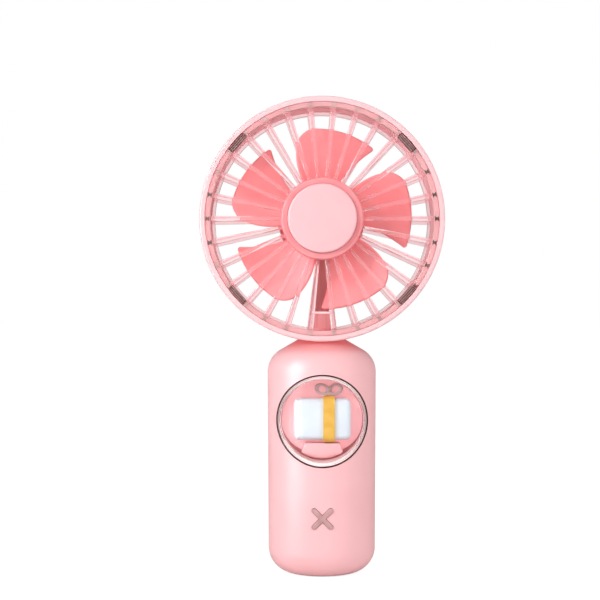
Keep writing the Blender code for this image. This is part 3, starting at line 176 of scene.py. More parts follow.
def bars(name, radius, low, high, places, steps=32, place=None):
    # Round bars along Y, or along a place's Z.
    form = bmesh.new()
    for a, b in places:
        if place is None:
            spot = Matrix.Translation((a, (low + high) / 2, b)) @ Matrix.Rotation(math.pi / 2, 4, "X")
        else:
            spot = Matrix.Translation((a, b, (low + high) / 2))
        bmesh.ops.create_cone(form, cap_ends=True, segments=steps, radius1=radius, radius2=radius,
                              depth=high - low, matrix=spot)
    return makeItem(name, form, place)


def block(name, low, high, rounding=0.0, place=None, segments=4):
    form = bmesh.new()
    size = Vector(high) - Vector(low)
    spot = Matrix.Translation((Vector(high) + Vector(low)) / 2) @ Matrix.Diagonal((*size, 1.0))
    bmesh.ops.create_cube(form, size=1.0, matrix=spot)
    if rounding:
        bmesh.ops.bevel(form, geom=form.edges, offset=rounding, segments=segments, profile=0.5,
                        affect="EDGES", clamp_overlap=True)
    return makeItem(name, form, place, 50 if rounding else 30)


def prism(name, outline, low, high, edge=0.0, place=None, angle=30):
    # A flat outline made solid, with a small round edge on both faces. The outline goes round its own middle.
    middle = sum((Vector(point) for point in outline), Vector((0.0, 0.0))) / len(outline)
    bend = edge * 0.3

    def ring(inset, height):
        return [(*(Vector(p) + (middle - Vector(p)).normalized() * inset), height) for p in outline]

    rings = [[(*middle, low)]]
    if edge:
        rings += [ring(edge, low), ring(bend, low + bend)]
    rings += [ring(0, low + edge), ring(0, high - edge)]
    if edge:
        rings += [ring(bend, high - bend), ring(edge, high)]
    rings.append([(*middle, high)])
    return skin(name, rings, place, angle=angle)


def settle(item, angle=30):
    # Makes the evaluated shape the object's own plain mesh.
    shape = bpy.data.meshes.new_from_object(item.evaluated_get(bpy.context.evaluated_depsgraph_get()))
    item.modifiers.clear()
    item.data = smooth(shape, angle)
    return item


def carve(item, others, operation="DIFFERENCE", angle=30):
    for other in others:
        step = item.modifiers.new("Carve", "BOOLEAN")
        step.operation = operation
        step.solver = "MANIFOLD"
        step.object = other
    return settle(item, angle)


def dress(item, material, body, slot, *replaced):
    spare.remove(item)
    item.data.materials.clear()
    item.data.materials.append(material)
    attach(item, body)
    if replaced:
        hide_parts(*replaced)


# Materials

def finish(name, colours, patch, rough, grain, depth, stretch=(1, 1, 1), passes=None, neckShade=None, **uniform):
    # Colour drifts between two tones over patches, and roughness and a fine bump follow the grain, all in mm.
    # A clear finish passes the lamps' light in a tint. A neck shade is painted shade, a tone that comes in
    # with height.
    made = bpy.data.materials.new(name)
    made.use_nodes = True
    tree = made.node_tree
    shader = tree.nodes["Principled BSDF"]
    spot = addNode(tree, "ShaderNodeTexCoord").outputs["Object"]
    spot = addNode(tree, "ShaderNodeMapping", {"Vector": spot, "Scale": stretch})
    broad = addNode(tree, "ShaderNodeTexNoise", {"Vector": spot, "Scale": 1 / (patch * mm), "Detail": 2.0})
    ramp = addNode(tree, "ShaderNodeValToRGB", {"Fac": broad})
    for stop, place, tone in zip(ramp.color_ramp.elements, (0.35, 0.65), colours):
        stop.position = place
        stop.color = hexColour(tone)
    fine = addNode(tree, "ShaderNodeTexNoise", {"Vector": spot, "Scale": 1 / (grain * mm), "Detail": 3.0})
    dull = addNode(tree, "ShaderNodeMapRange", {
        "Value": fine, "From Min": 0.3, "From Max": 0.7, "To Min": rough[0], "To Max": rough[1]})
    bump = addNode(tree, "ShaderNodeBump", {"Height": fine, "Distance": depth * mm, "Strength": 1.0})
    colour = ramp.outputs["Color"]
    # Painted shade: the colour turns to a deeper tone between two heights.
    if neckShade:
        low, high, tone = neckShade
        height = addNode(tree, "ShaderNodeSeparateXYZ", {0: spot}).outputs["Z"]
        share = addNode(tree, "ShaderNodeMapRange", {
            "Value": height, "From Min": low * mm, "From Max": high * mm}, interpolation_type="SMOOTHSTEP")
        colour = addNode(tree, "ShaderNodeMix", {"Factor": share, 6: colour, 7: hexColour(tone)},
                         data_type="RGBA").outputs[2]
    feed(tree, shader, {socket.replace("_", " "): value for socket, value in uniform.items()})
    feed(tree, shader, {"Base Color": colour, "Roughness": dull, "Normal": bump})
    if passes:
        path = addNode(tree, "ShaderNodeLightPath").outputs
        through = addNode(tree, "ShaderNodeBsdfTransparent", {"Color": hexColour(passes)})
        for ray in ("Is Shadow Ray", "Is Diffuse Ray"):
            shader = addNode(tree, "ShaderNodeMixShader", {0: path[ray], 1: shader, 2: through})
        feed(tree, tree.nodes["Material Output"], {"Surface": shader})
    return made


print("materials")
# Satin moulded ABS: an even pink with a soft sheen, a fine grain that only breaks up highlights, and a
# painted shade at the neck, a deeper tone for the hoop's shadow there.
pinkAbs = finish("satinPinkAbs", ("#F4BBBF", "#F6BFC3"), 18, (0.33, 0.39), 0.35, 0.0015,
                 neckShade=(85.8, 90.8, "#FA9496"), IOR=1.5)
# Paler ABS of the cap and rear cover: the same moulding, a little chalkier.
palePinkAbs = finish("palePinkAbs", ("#F0B6BB", "#F2BABF"), 14, (0.36, 0.46), 0.35, 0.004, IOR=1.5)
# Brighter pink of the tray, with a faint painted glow: painted light for the pocket, which lies deep in the
# shell's shade.
trayPink = finish("paintedGlowPinkAbs", ("#FFD0D3", "#FFD6D8"), 14, (0.4, 0.5), 0.35, 0.004, IOR=1.5,
                  Emission_Color=hexColour("#FFB9BD"), Emission_Strength=0.38)
# Coral polypropylene of the rotor: waxy, slightly deeper in patches.
coral = finish("waxyCoralPp", ("#FE9DA0", "#FFA7AA"), 12, (0.34, 0.44), 0.5, 0.006, IOR=1.46)
# Strut in a darker coral, which is painted shade for the shadow of the hub and ribs; it is drawn lengthwise
# by the mould, so that fine streaks run up it.
strutCoral = finish("streakedCoralPc", ("#D28A8B", "#E29B9D"), 1.1, (0.35, 0.5), 0.6, 0.02, (1, 1, 0.04),
                    IOR=1.5)
# Clear polycarbonate with a pink tint: see-through, with bright and dark lines along its edges.
tintedPc = finish("tintedClearPc", ("#FADBDE", "#FCE2E5"), 20, (0.02, 0.05), 1.5, 0.003, passes="#FCE9EB",
                  IOR=1.3, Transmission_Weight=0.87)
# The hoop is of the same plastic with a milky filler, so that it glows and hides what is behind it.
milkyPc = finish("milkyPinkPc", ("#F6CCD0", "#F8D2D6"), 20, (0.16, 0.24), 1.5, 0.004, passes="#E6BCBF",
                 IOR=1.4, Transmission_Weight=0.15)
# The front grille's rim, a dusty rose, half clear.
dustyPc = finish("dustyRosePc", ("#F2CACC", "#F6D3D5"), 12, (0.12, 0.2), 1.0, 0.004, passes="#F6D8DA",
                 IOR=1.3, Transmission_Weight=0.55)
# The rear rim, painted paler for the light that comes through it from behind.
pearlPc = finish("pearlPinkPc", ("#FFEDEE", "#FFF4F5"), 12, (0.12, 0.2), 1.0, 0.004, passes="#FDECEE",
                 IOR=1.2, Transmission_Weight=0.7)
# Water-clear polycarbonate dome.
clearPc = finish("clearPolycarbonate", ("#FDF6F6", "#FFFFFF"), 30, (0.0, 0.02), 3.0, 0.002, passes="#FFFDFD",
                 IOR=1.08, Coat_Weight=0.04, Coat_Roughness=0.02, Transmission_Weight=1.0)
# Cut edge of the same plastic, tinted pink and given a faint painted glow: painted light for the tray's pink
# and the lit edge of the dome.
edgePc = finish("paintedGlowPcEdge", ("#FFECEC", "#FFFFFF"), 9, (0.1, 0.18), 1.0, 0.004, passes="#FFF2F2",
                IOR=1.45, Emission_Color=hexColour("#FFE9E9"), Emission_Strength=0.26)
# Smoky brown clips with drawn lines.
clipBrown = finish("smokyBrownAcetal", ("#523434", "#7C5858"), 0.8, (0.25, 0.4), 0.5, 0.01, IOR=1.48)
# The same, paler on the ridges.
ridgeBrown = finish("paleRidgeAcetal", ("#8A6665", "#A88482"), 0.8, (0.35, 0.5), 0.5, 0.01, IOR=1.48)
# Soft dark rubber, dull and a little dusty.
sealRubber = finish("darkSealRubber", ("#321616", "#402222"), 3, (0.6, 0.8), 0.4, 0.01, IOR=1.3)
# Brown-pink rubber colour for the crescent and the thin line inside the lens: painted shade where the lens's
# lower edge and inner wall look dark.
shadeRubber = finish("paintedShadeRubber", ("#C28A8D", "#D09A9D"), 3, (0.4, 0.55), 0.4, 0.01, IOR=1.45)
# Glossy bluish-white ABS.
whiteAbs = finish("glossyWhiteAbs", ("#D6E7F1", "#DDEDF6"), 8, (0.34, 0.44), 0.5, 0.003, IOR=1.5)
# Egg-yellow satin ribbon lacquer.
yellowLacquer = finish("yellowSatinLacquer", ("#D9AC40", "#E2BA55"), 3, (0.35, 0.5), 0.3, 0.01, IOR=1.48)
# Frosted plastic with a grey cast.
frosted = finish("frostedGreyPlastic", ("#CFC2C4", "#DED2D4"), 3, (0.35, 0.5), 0.3, 0.006, IOR=1.45,
                 Transmission_Weight=0.35)
# Grey-rose button, softer and duller than the grip.
greyRose = finish("greyRoseAbs", ("#B88D8E", "#C49A9B"), 4, (0.42, 0.55), 0.3, 0.006, IOR=1.48)
# Hub ring of the grille, the same coral as the rotor behind it but paler.
hubCoral = finish("paleCoralAbs", ("#EE8F95", "#F29A9F"), 9, (0.34, 0.44), 0.4, 0.005, IOR=1.5)
# Sink marks at the ribs' ends, painted grey-brown as their shade and refraction: dark at the sides of the rim
# and faint elsewhere.
boldSinkShade = finish("sinkMarkShadeDark", ("#3E3230", "#6C5A56"), 4, (0.4, 0.6), 0.3, 0.008, IOR=1.45)
faintSinkShade = finish("sinkMarkShadeFaint", ("#9A827F", "#BFA5A3"), 9, (0.4, 0.6), 0.3, 0.008, IOR=1.45)
# Dull black moulded housings.
blackPlastic = finish("mattBlackPbt", ("#161616", "#222222"), 2, (0.45, 0.65), 0.2, 0.006, IOR=1.5)
# Green solder mask over faint copper pours.
boardGreen = finish("greenSolderMask", ("#0F4A26", "#1B6638"), 2.2, (0.3, 0.45), 0.4, 0.01, IOR=1.5)
# Zinc-plated steel, lightly brushed.
platedSteel = finish("platedSteel", ("#B4B4B8", "#C6C6CA"), 1.5, (0.22, 0.38), 0.15, 0.003, (1, 1, 0.2),
                     Metallic=1.0)
# Nickel strip, warmer and rolled.
nickelStrip = finish("nickelStrip", ("#C2BBAE", "#D0C9BC"), 2, (0.24, 0.36), 0.2, 0.002, (0.2, 1, 1),
                     Metallic=1.0)
# Sintered bronze, pitted and oily.
bronze = finish("sinteredBronze", ("#8E6A3C", "#A67E4A"), 0.6, (0.3, 0.5), 0.15, 0.01, Metallic=1.0)
# Enamelled copper wire wound in fine turns.
copper = finish("enamelledCopper", ("#B5653A", "#C97A49"), 0.5, (0.22, 0.4), 0.3, 0.02, (1, 0.15, 1),
                Metallic=1.0)
# Sintered ferrite, dark grey and grainy.
ferrite = finish("sinteredFerrite", ("#2E2E31", "#3C3C40"), 1.2, (0.5, 0.7), 0.25, 0.01, IOR=1.5)
# Heat-shrunk blue sleeve with faint wrinkles.
cellSleeve = finish("blueShrinkSleeve", ("#1C4C8E", "#25589C"), 6, (0.25, 0.4), 1.2, 0.03, (1, 1, 0.3),
                    IOR=1.5)
# Open-cell foam, dull and pitted.
blackFoam = finish("openCellFoam", ("#1A1A1A", "#303030"), 0.7, (0.85, 0.98), 0.5, 0.12, IOR=1.4)
# Soft red PVC jacket.
redJacket = finish("redPvcJacket", ("#A3161A", "#B6242A"), 3, (0.35, 0.5), 0.4, 0.006, IOR=1.5)


# Grip

print("grip shells")
grip = dict(
    draft=0.35,
    wall=2.0,
    sideTop=79.1,
    fillet=10.0,
    slope=30,
    corner=10.0,
    neckTop=92.0327,
    cavityTop=88.9327,
    saddle=47.9,             # radius of the seat under the hoop
    seam=0.3,                # width of the groove where the halves meet
    seamDepth=0.45,
    parting=0.02,            # from the middle plane to each half
    steps=240,
    screws=[(14.3, 14.0), (12.6, 82.633)],
    screwHole=1.25,
    screwTip=-7.2,
    screwHead=2.1,
    screwSeat=8.6,
    boss=3.1,
    windowHole=17.88,
    collar=19.5,
    trayBack=6.1,
    crossGap=0.12,           # round the button
    usbSize=(9.5, 3.8),
    usbMiddle=9.3,
    usbDepth=3.9,
    boardFront=7.7,
    boardPosts=[(7.1, 36.6), (7.1, 12.0)],
    post=1.8,
    postHole=(1.1, -12.1),   # radius and floor
    shelf=(82.7327, 85.1327),        # lower and upper face
    shelfHole=5.5,
    stem=5.8,
    cellY=8.7,
    cellRadius=9.5,
    cellFoot=(2.5, 6.0, 6.2),        # half width, half depth and height
    cradles=[20.0, 58.0],
    cradleHeight=1.8,
)
# The grip's opening follows the button, so its sizes come first.
button = dict(
    span=8.2,
    arm=1.9,
    front=21.5189,
    edge=(0.35, 0.1),        # width of the round front edge and of its step
    flangeFront=17.885,
    flangeBack=16.685,
    flange=5.9,
    post=1.5,
    postEnd=13.1,
)


def gripOutline(inset, top, steps=24):
    s = grip
    side, fillet, bend = fan["gripRadius"], s["fillet"], s["corner"]
    shoulder = arc((side - fillet, s["sideTop"]), fillet - inset, 90 - s["slope"], 0, steps)
    corner = arc((side - s["draft"] - bend, bend), bend - inset, 0, -90, steps)
    radius, height = shoulder[0]
    neck = radius - (top - height) / math.tan(math.radians(s["slope"]))
    return [(0.0, top), (neck, top)] + shoulder + corner + [(0.0, inset)]


def crossOutline(clearance):
    half = button["arm"] / 2
    reach = (button["span"] / 2 - half) * math.sqrt(2)
    outline = []
    for quarter in range(4):
        turn = Matrix.Rotation(math.radians(45 + 90 * quarter), 2)
        points = [(half + clearance, -half - clearance)] + arc((reach, 0.0), half + clearance, -90, 90, 12)
        outline += [turn @ Vector(point) for point in points]
    return outline


def stadium(width, thickness, steps=12):
    middle = (width - thickness) / 2
    return (arc((middle, 0.0), thickness / 2, -90, 90, steps)
            + arc((-middle, 0.0), thickness / 2, 90, 270, steps))


def gripShells():
    s = grip
    screws = [(side * x, z) for side in (1, -1) for x, z in s["screws"]]
    posts = [(side * x, z) for side in (1, -1) for x, z in s["boardPosts"]]
    shelfFoot, shelfTop = s["shelf"]
    bosses = bars("bosses", s["boss"], -far, far, screws)
    shelf = block("shelf", (-far, -far, shelfFoot), (far, far, shelfTop))
    carve(shelf, [pillar("shelfHole", s["shelfHole"], 0, far, 48)])
    collar = bars("collar", s["collar"], s["trayBack"], far, [(0, 0)], 128, windowPlace)
    boardPosts = bars("boardPosts", s["post"], -far, -s["boardFront"], posts)
    middle = s["cellY"]
    cellHole = pillar("cellHole", s["cellRadius"], 0, far, 64, Matrix.Translation((0, middle * mm, 0)))
    cradles = [carve(block("cradle", (-far, middle, foot), (far, far, foot + s["cradleHeight"])), [cellHole])
               for foot in s["cradles"]]
    wide, deep, top = s["cellFoot"]
    cellFoot = block("cellFoot", (-wide, middle - deep, -far), (wide, middle + deep, top))
    saddle = bars("saddle", s["saddle"], -far, far, [(0, fan["headHeight"])], 360)
    stemHole = pillar("stemHole", s["stem"], shelfTop, far, 64)
    windowHole = bars("windowHole", s["windowHole"], 0, far, [(0, 0)], 192, windowPlace)
    crossHole = prism("crossHole", crossOutline(s["crossGap"]), button["flangeBack"], far, 0, buttonPlace)
    usbHole = prism("usbHole", stadium(*s["usbSize"]), -far, s["usbDepth"], 0,
                    Matrix.Translation((0, -s["usbMiddle"] * mm, 0)))
    pilots = bars("pilots", s["screwHole"], s["screwTip"], far, screws)
    boardHoles = bars("boardHoles", *s["postHole"], 0, posts[::2])
    shanks = bars("shanks", s["screwHole"], -far, far, screws)
    headHoles = bars("headHoles", s["screwHead"], s["screwSeat"], far, screws, 48)
    groove = block("groove", (-far, -s["seam"] / 2, -far), (far, s["seam"] / 2, far))
    carve(groove, [turned("core", gripOutline(s["seamDepth"], far / 2), s["steps"])])
    rearHalf = block("rearHalf", (-far, -s["parting"], -far), (far, far, far))
    frontHalf = block("frontHalf", (-far, -far, -far), (far, s["parting"], far))

    # Each half: what stands in its hollow, and what is cut from it.
    for name, node, solids, other, cuts in (
            ("gripFront", "front_shell", [bosses, shelf, collar, boardPosts], rearHalf,
             [windowHole, crossHole, usbHole, pilots, boardHoles]),
            ("gripRear", "rear_shell", [bosses, shelf, *cradles, cellFoot], frontHalf, [shanks, headHoles])):
        cavity = carve(turned("cavity", gripOutline(s["wall"], s["cavityTop"], 12), 120), solids)
        shell = turned(name, gripOutline(0, s["neckTop"]), s["steps"])
        carve(shell, [cavity, other, groove, saddle, stemHole, *cuts])
        dress(shell, pinkAbs, "housing", "pink_abs", node)


gripShells()


# Window and ornament

print("window")
window = dict(
    front=21.9,              # depth of the lens at its middle
    dome=0.55,               # how far the lens falls towards its edge
    lens=17.28,
    wall=1.0,
    edge=0.6,
    fillet=0.8,
    foot=0.2,
    skirt=2.4,               # depth of the lens's rim below its face
    seat=16.1,               # bore of the ring that the lens sits on
    seatStep=0.1,
    line=0.2,
    lineDepth=0.6,
    tray=(17.8, 7.6, 6.1),   # radius, front and back
    trayEdge=0.3,
    seal=(17.3, 17.86),
    sealDepth=(1.1, 0.35, 0.08),     # of its foot, sides and crown below the grip's face
    # The next two sizes are of the brown crescent inside the lens, painted shade for its dark lower edge.
    lip=(16.0, 0.22, 2.6),   # outer radius, width at the top and what the foot adds
    crescentDepth=1.6,
)


def windowPieces():
    s = window
    steps = fan["steps"]

    def faceRing(radius, under):
        # A ring on the lens's face, or below it.
        fall = s["dome"] * (radius / s["lens"]) ** 2 + under
        return [(x, y, math.sqrt(s["front"] ** 2 - x ** 2) - fall) for x, y, z in circle(radius, 0, steps)]

    outer, inner = s["lens"], s["lens"] - s["wall"]
    wall, edge, fillet, foot, skirt = s["wall"], s["edge"], s["fillet"], s["foot"], s["skirt"]
    rings = [[(0.0, 0.0, s["front"])]]
    rings += [faceRing(outer * share, 0.0) for share in (0.15, 0.3, 0.45, 0.6, 0.75, 0.85, 0.92)]
    rings += [faceRing(outer - edge * (1 - math.sin(t)), edge * (1 - math.cos(t)))
              for t in (0.0, 0.4, 0.8, 1.2, math.pi / 2)]
    rings += [faceRing(outer, skirt - foot), faceRing(outer - foot, skirt), faceRing(inner + foot, skirt),
              faceRing(inner, skirt - foot)]
    rings += [faceRing(inner - fillet * out, wall + fillet * down)
              for out, down in ((0, 1), (0.3, 0.3), (1, 0))]
    rings += [faceRing((inner - fillet) * share, wall) for share in (0.85, 0.7, 0.55, 0.4, 0.25, 0.12)]
    rings.append([(0.0, 0.0, s["front"] - wall)])
    dress(skin("windowLens", rings, windowPlace), clearPc, "housing", "clear_pc", "window_lens")

    def closedSkin(name, rings, surface, slot, node):
        dress(skin(name, rings, windowPlace, closed=True), surface, "housing", slot, node)

    # The lower part of the lens is a bright ring with a faint painted glow, and a thin dark line along its
    # inner edge is painted shade where the lens's inner wall looks dark.
    bore, floor, step = s["seat"], s["tray"][1], s["seatStep"]
    rings = [circle(outer, floor, steps), faceRing(outer, skirt), faceRing(bore + step, skirt),
             faceRing(bore, skirt + step), circle(bore, floor, steps)]
    closedSkin("lensSeat", rings, edgePc, "clear_pc", "window_lens")
    thin, top, deep = bore - s["line"], skirt + step, skirt + s["lineDepth"]
    rings = [faceRing(bore, deep), faceRing(bore, top), faceRing(thin, top), faceRing(thin, deep)]
    closedSkin("seatLine", rings, shadeRubber, "dark_seal_rubber", "window_seal")

    def gripRing(radius, under):
        side = fan["gripRadius"]
        return [(x, y, math.sqrt(side ** 2 - x ** 2) - under) for x, y, z in circle(radius, 0, steps)]

    low, high = s["seal"]
    third = (high - low) / 3
    deep, side, crown = s["sealDepth"]
    rings = [gripRing(high, deep), gripRing(high, side), gripRing(high - third, crown),
             gripRing(low + third, crown), gripRing(low, side), gripRing(low, deep)]
    closedSkin("windowSeal", rings, sealRubber, "dark_seal_rubber", "window_seal")

    # A brown crescent inside the lens, thick at its foot: painted shade where the lens's lower edge looks
    # dark.
    reach, narrow, swell = s["lip"]

    def crescentRing(share, depth):
        ring = []
        for x, y, z in circle(1.0, floor + depth, steps):
            radius = reach - share * (narrow + swell * max(0.0, -y) ** 3)
            ring.append((radius * x, radius * y, z))
        return ring

    tall = s["crescentDepth"]
    rings = [crescentRing(0, 0), crescentRing(0, tall), crescentRing(0.5, tall * 0.9), crescentRing(1, tall * 0.3), crescentRing(1, 0)]
    closedSkin("sealLip", rings, shadeRubber, "dark_seal_rubber", "window_seal")

    radius, front, back = s["tray"]
    profile = softened([(0, front), (radius, front), (radius, back), (0, back)], s["trayEdge"], 4, False)
    tray = turned("windowTray", profile, steps, windowPlace)
    dress(tray, trayPink, "housing", "pale_pink_abs", "window_tray")


windowPieces()

print("ornament")
charm = dict(
    box=((-11.0, -7.6, 7.9), (11.0, 8.4, 16.3)),
    rounding=2.2,
    ribbonMiddle=2.6,
    ribbonWidth=4.4,
    ribbonThickness=0.6,
    ribbonGap=0.12,
    gap=0.3,
    loop=1.75,
    band=0.6,
    stretch=1.35,            # of the loops, along their own length
    tilt=25,
    spread=2.5,
    knot=1.2,
    standRadius=14.9,
    standTop=13.6,
    standFoot=16.4,
    standDepth=7.0,
    standCorner=0.9,
    standEdge=0.7,
)


def ornament():
    s = charm
    low, high = s["box"]
    box = block("charmBox", low, high, s["rounding"], windowPlace, 8)
    dress(box, whiteAbs, "housing", "white_abs", "charm_box")

    # The ribbon is a band that lies round the box, open at the back.
    def band(out):
        foot, crown, back, top = low[1] - out, high[1] + out, low[2], high[2] + out
        outline = [(foot, back), (foot, top), (crown, top), (crown, back)]
        return softened(outline, s["rounding"] + out, 8, False)

    middle, half = s["ribbonMiddle"], s["ribbonWidth"] / 2
    over = s["gap"] + s["ribbonThickness"]
    loop = band(over) + band(s["ribbonGap"])[::-1]
    count = len(loop)
    form = bmesh.new()
    rows = [[form.verts.new((x, y, z)) for y, z in loop] for x in (middle - half, middle + half)]
    for i in range(count):
        form.faces.new((rows[0][i], rows[0][(i + 1) % count], rows[1][(i + 1) % count], rows[1][i]))
    for row in rows:
        for i in range(count // 2 - 1):
            form.faces.new((row[i], row[i + 1], row[count - 2 - i], row[count - 1 - i]))
    bmesh.ops.recalc_face_normals(form, faces=form.faces)
    ribbon = makeItem("charmRibbon", form, windowPlace)
    dress(ribbon, yellowLacquer, "housing", "yellow_paint", "charm_ribbon")

    # Two slanting loops and a knot, resting on the ribbon.
    lean, reach = math.radians(s["tilt"]), s["loop"] + s["band"]
    height = high[1] + over
    height += reach * math.hypot(s["stretch"] * math.sin(lean), math.cos(lean))
    depth = (low[2] + high[2]) / 2
    form = bmesh.new()
    bmesh.ops.create_uvsphere(form, u_segments=24, v_segments=16, radius=s["knot"],
                              matrix=Matrix.Translation((middle, height, depth)))
    bow = makeItem("charmBow", form, windowPlace)
    loops = []
    for side in (1, -1):
        place = windowPlace @ Matrix.Translation(Vector((middle + side * s["spread"], height, depth)) * mm)
        place = place @ Matrix.Rotation(side * lean, 4, "Z") @ Matrix.Diagonal((s["stretch"], 1, 1, 1))
        loops.append(turned("bowLoop", arc((s["loop"], 0.0), s["band"], 0, -360, 16)[:-1], 40, place, True))
    carve(bow, loops, "UNION")
    dress(bow, frosted, "housing", "frosted_plastic", "charm_bow")

    radius, half = s["standRadius"], s["standTop"] / 2
    spread = math.degrees(math.asin(s["standFoot"] / 2 / radius))
    top = low[1] - over - s["gap"]
    outline = arc((0.0, 0.0), radius, 270 - spread, 270 + spread, 16) + [(half, top), (-half, top)]
    stand = prism("charmStand", softened(outline, s["standCorner"], 4), low[2], low[2] + s["standDepth"],
                  s["standEdge"], windowPlace, 50)
    dress(stand, pinkAbs, "housing", "pink_abs", "charm_stand")


ornament()

print("button")


def crossButton():
    s = button

    def ring(clearance, depth):
        return [(*point, depth) for point in crossOutline(clearance)]

    front, high, low = s["front"], s["flangeFront"], s["flangeBack"]
    back, (wide, fine) = (high + low) / 2, s["edge"]
    rings = [[(0, 0, back)], ring(0, back), ring(0, front - wide), ring(-fine, front - fine),
             ring(-wide, front), [(0, 0, front)]]
    cross = skin("crossButton", rings, buttonPlace, angle=40)
    flange, post, end = s["flange"], s["post"], s["postEnd"]
    profile = [(0, high), (flange, high), (flange, low), (post, low), (post, end), (0, end)]
    carve(cross, [turned("buttonFlange", profile, 64, buttonPlace)], "UNION", 40)
    dress(cross, greyRose, "button", "grey_rose_plastic", "cross_button")


crossButton()


# Head

print("hoop")
hoop = dict(
    radius=47.7,
    bore=45.6,
    front=14.0,
    rear=-13.0,
    edge=0.9,
    ledge=43.8,              # bore of the two ledges that the grilles rest on
    frontLedge=9.7,
    rearLedge=-8.7,
    ledgeDepth=3.2,
    ledgeSlope=1.8,
    rounding=0.25,
    strutNotch=((-4.1, -45.1, -9.0), (4.1, 0, 4.3)),
    steps=288,
)


def headHoop():
    s = hoop
    bore, ledge, edge, radius = s["bore"], s["ledge"], s["edge"], s["radius"]
    rear, front = s["rearLedge"], s["frontLedge"]
    rearTop, frontFoot = rear + s["ledgeDepth"], front - s["ledgeDepth"]
    slope = s["ledgeSlope"]
    inside = [(bore, s["rear"]), (bore, rear), (ledge, rear), (ledge, rearTop), (bore, rearTop + slope),
              (bore, frontFoot - slope), (ledge, frontFoot), (ledge, front), (bore, front),
              (bore, s["front"])]
    profile = arc((radius - edge, s["front"] - edge), edge, 90, 0, 8)
    profile += arc((radius - edge, s["rear"] + edge), edge, 0, -90, 8)
    ring = turned("headHoop", profile + softened(inside, s["rounding"], 3, False), s["steps"], head, True)
    stemPass = pillar("stemPass", grip["stem"], 0, fan["headHeight"], 64)
    carve(ring, [block("notch", *s["strutNotch"], 0, head), stemPass])
    dress(ring, milkyPc, "housing", "translucent_pink_pc", "head_hoop")


headHoop()

print("grilles")
ribs = dict(
    hubWidth=1.3,
    rimWidth=2.4,
    rimDepth=2.6,
    hubDepth=4.4,
    fillet=0.24,             # share of the bar's own section
)
ribLengths = ("Inner", "Outer", "Hub width", "Rim width", "Hub back", "Hub front", "Rim back", "Rim front")


def newTree(name, sockets, output):
    # A geometry tree with its sockets, and what its group input gives.
    tree = bpy.data.node_groups.new(name, "GeometryNodeTree")
    for socket, kind in sockets.items():
        tree.interface.new_socket(name=socket, in_out="INPUT", socket_type="NodeSocket" + kind)
    tree.interface.new_socket(name=output, in_out="OUTPUT", socket_type="NodeSocketGeometry")
    return tree, addNode(tree, "NodeGroupInput").outputs


def copyOut(tree, points, piece, angle, material, output):
    # The end of a tree: a copy of the piece at each point, turned about Z and painted.
    turn = addNode(tree, "ShaderNodeCombineXYZ", {"Z": angle})
    turn = addNode(tree, "FunctionNodeEulerToRotation", {"Euler": turn})
    copies = addNode(tree, "GeometryNodeInstanceOnPoints", {
        "Points": points, "Instance": piece, "Rotation": turn})
    real = addNode(tree, "GeometryNodeRealizeInstances", {"Geometry": copies})
    painted = addNode(tree, "GeometryNodeSetMaterial", {"Geometry": real, "Material": material})
    addNode(tree, "NodeGroupOutput", {output: painted})
    return tree


def ribTree():
    # One tapered bar with round edges, copied round the axis.
    sockets = {"Count": "Int", "Fillet": "Float", "Material": "Material"}
    sockets |= dict.fromkeys(ribLengths, "Float")
    tree, sizes = newTree("ribRing", sockets, "Ribs")
    line = addNode(tree, "GeometryNodeCurvePrimitiveLine", {"Start": (0, 0, 0), "End": (1, 0, 0)})
    line = addNode(tree, "GeometryNodeResampleCurve", {"Curve": line, "Count": 7})
    square = addNode(tree, "GeometryNodeCurvePrimitiveQuadrilateral", {"Width": 1.0, "Height": 1.0})
    square = addNode(tree, "GeometryNodeFilletCurve", {
        "Curve": square, "Radius": sizes["Fillet"], "Count": 4}, mode="POLY")
    bar = addNode(tree, "GeometryNodeCurveToMesh", {
        "Curve": line, "Profile Curve": square, "Fill Caps": True})
    spot = addNode(tree, "ShaderNodeSeparateXYZ", {0: addNode(tree, "GeometryNodeInputPosition")}).outputs

    def along(start, end):
        return addNode(tree, "ShaderNodeMapRange", {
            "Value": spot["X"], "To Min": sizes[start], "To Max": sizes[end]}, clamp=False)

    across = reckon(tree, "MULTIPLY", spot["Y"], along("Hub width", "Rim width"))
    depth = addNode(tree, "ShaderNodeMapRange", {
        "Value": spot["Z"], "From Min": -0.5, "From Max": 0.5, "To Min": along("Hub back", "Rim back"),
        "To Max": along("Hub front", "Rim front")}, clamp=False)
    place = addNode(tree, "ShaderNodeCombineXYZ", {"X": along("Inner", "Outer"), "Y": across, "Z": depth})
    bar = addNode(tree, "GeometryNodeSetPosition", {"Geometry": bar, "Position": place})
    points = addNode(tree, "GeometryNodePoints", {"Count": sizes["Count"]})
    step = reckon(tree, "DIVIDE", 2 * math.pi, sizes["Count"])
    angle = reckon(tree, "MULTIPLY", addNode(tree, "GeometryNodeInputIndex"), step)
    return copyOut(tree, points, bar, angle, sizes["Material"], "Ribs")


def copyTree():
    # Copies an object to each vertex, turned about Z by the vertex's own angle.
    sockets = {"Points": "Geometry", "Piece": "Object", "Material": "Material"}
    tree, given = newTree("copiesAtPoints", sockets, "Copies")
    piece = addNode(tree, "GeometryNodeObjectInfo", {"Object": given["Piece"]}, transform_space="ORIGINAL")
    angle = addNode(tree, "GeometryNodeInputNamedAttribute", {"Name": "turn"}, data_type="FLOAT")
    return copyOut(tree, given["Points"], piece.outputs["Geometry"], angle, given["Material"], "Copies")


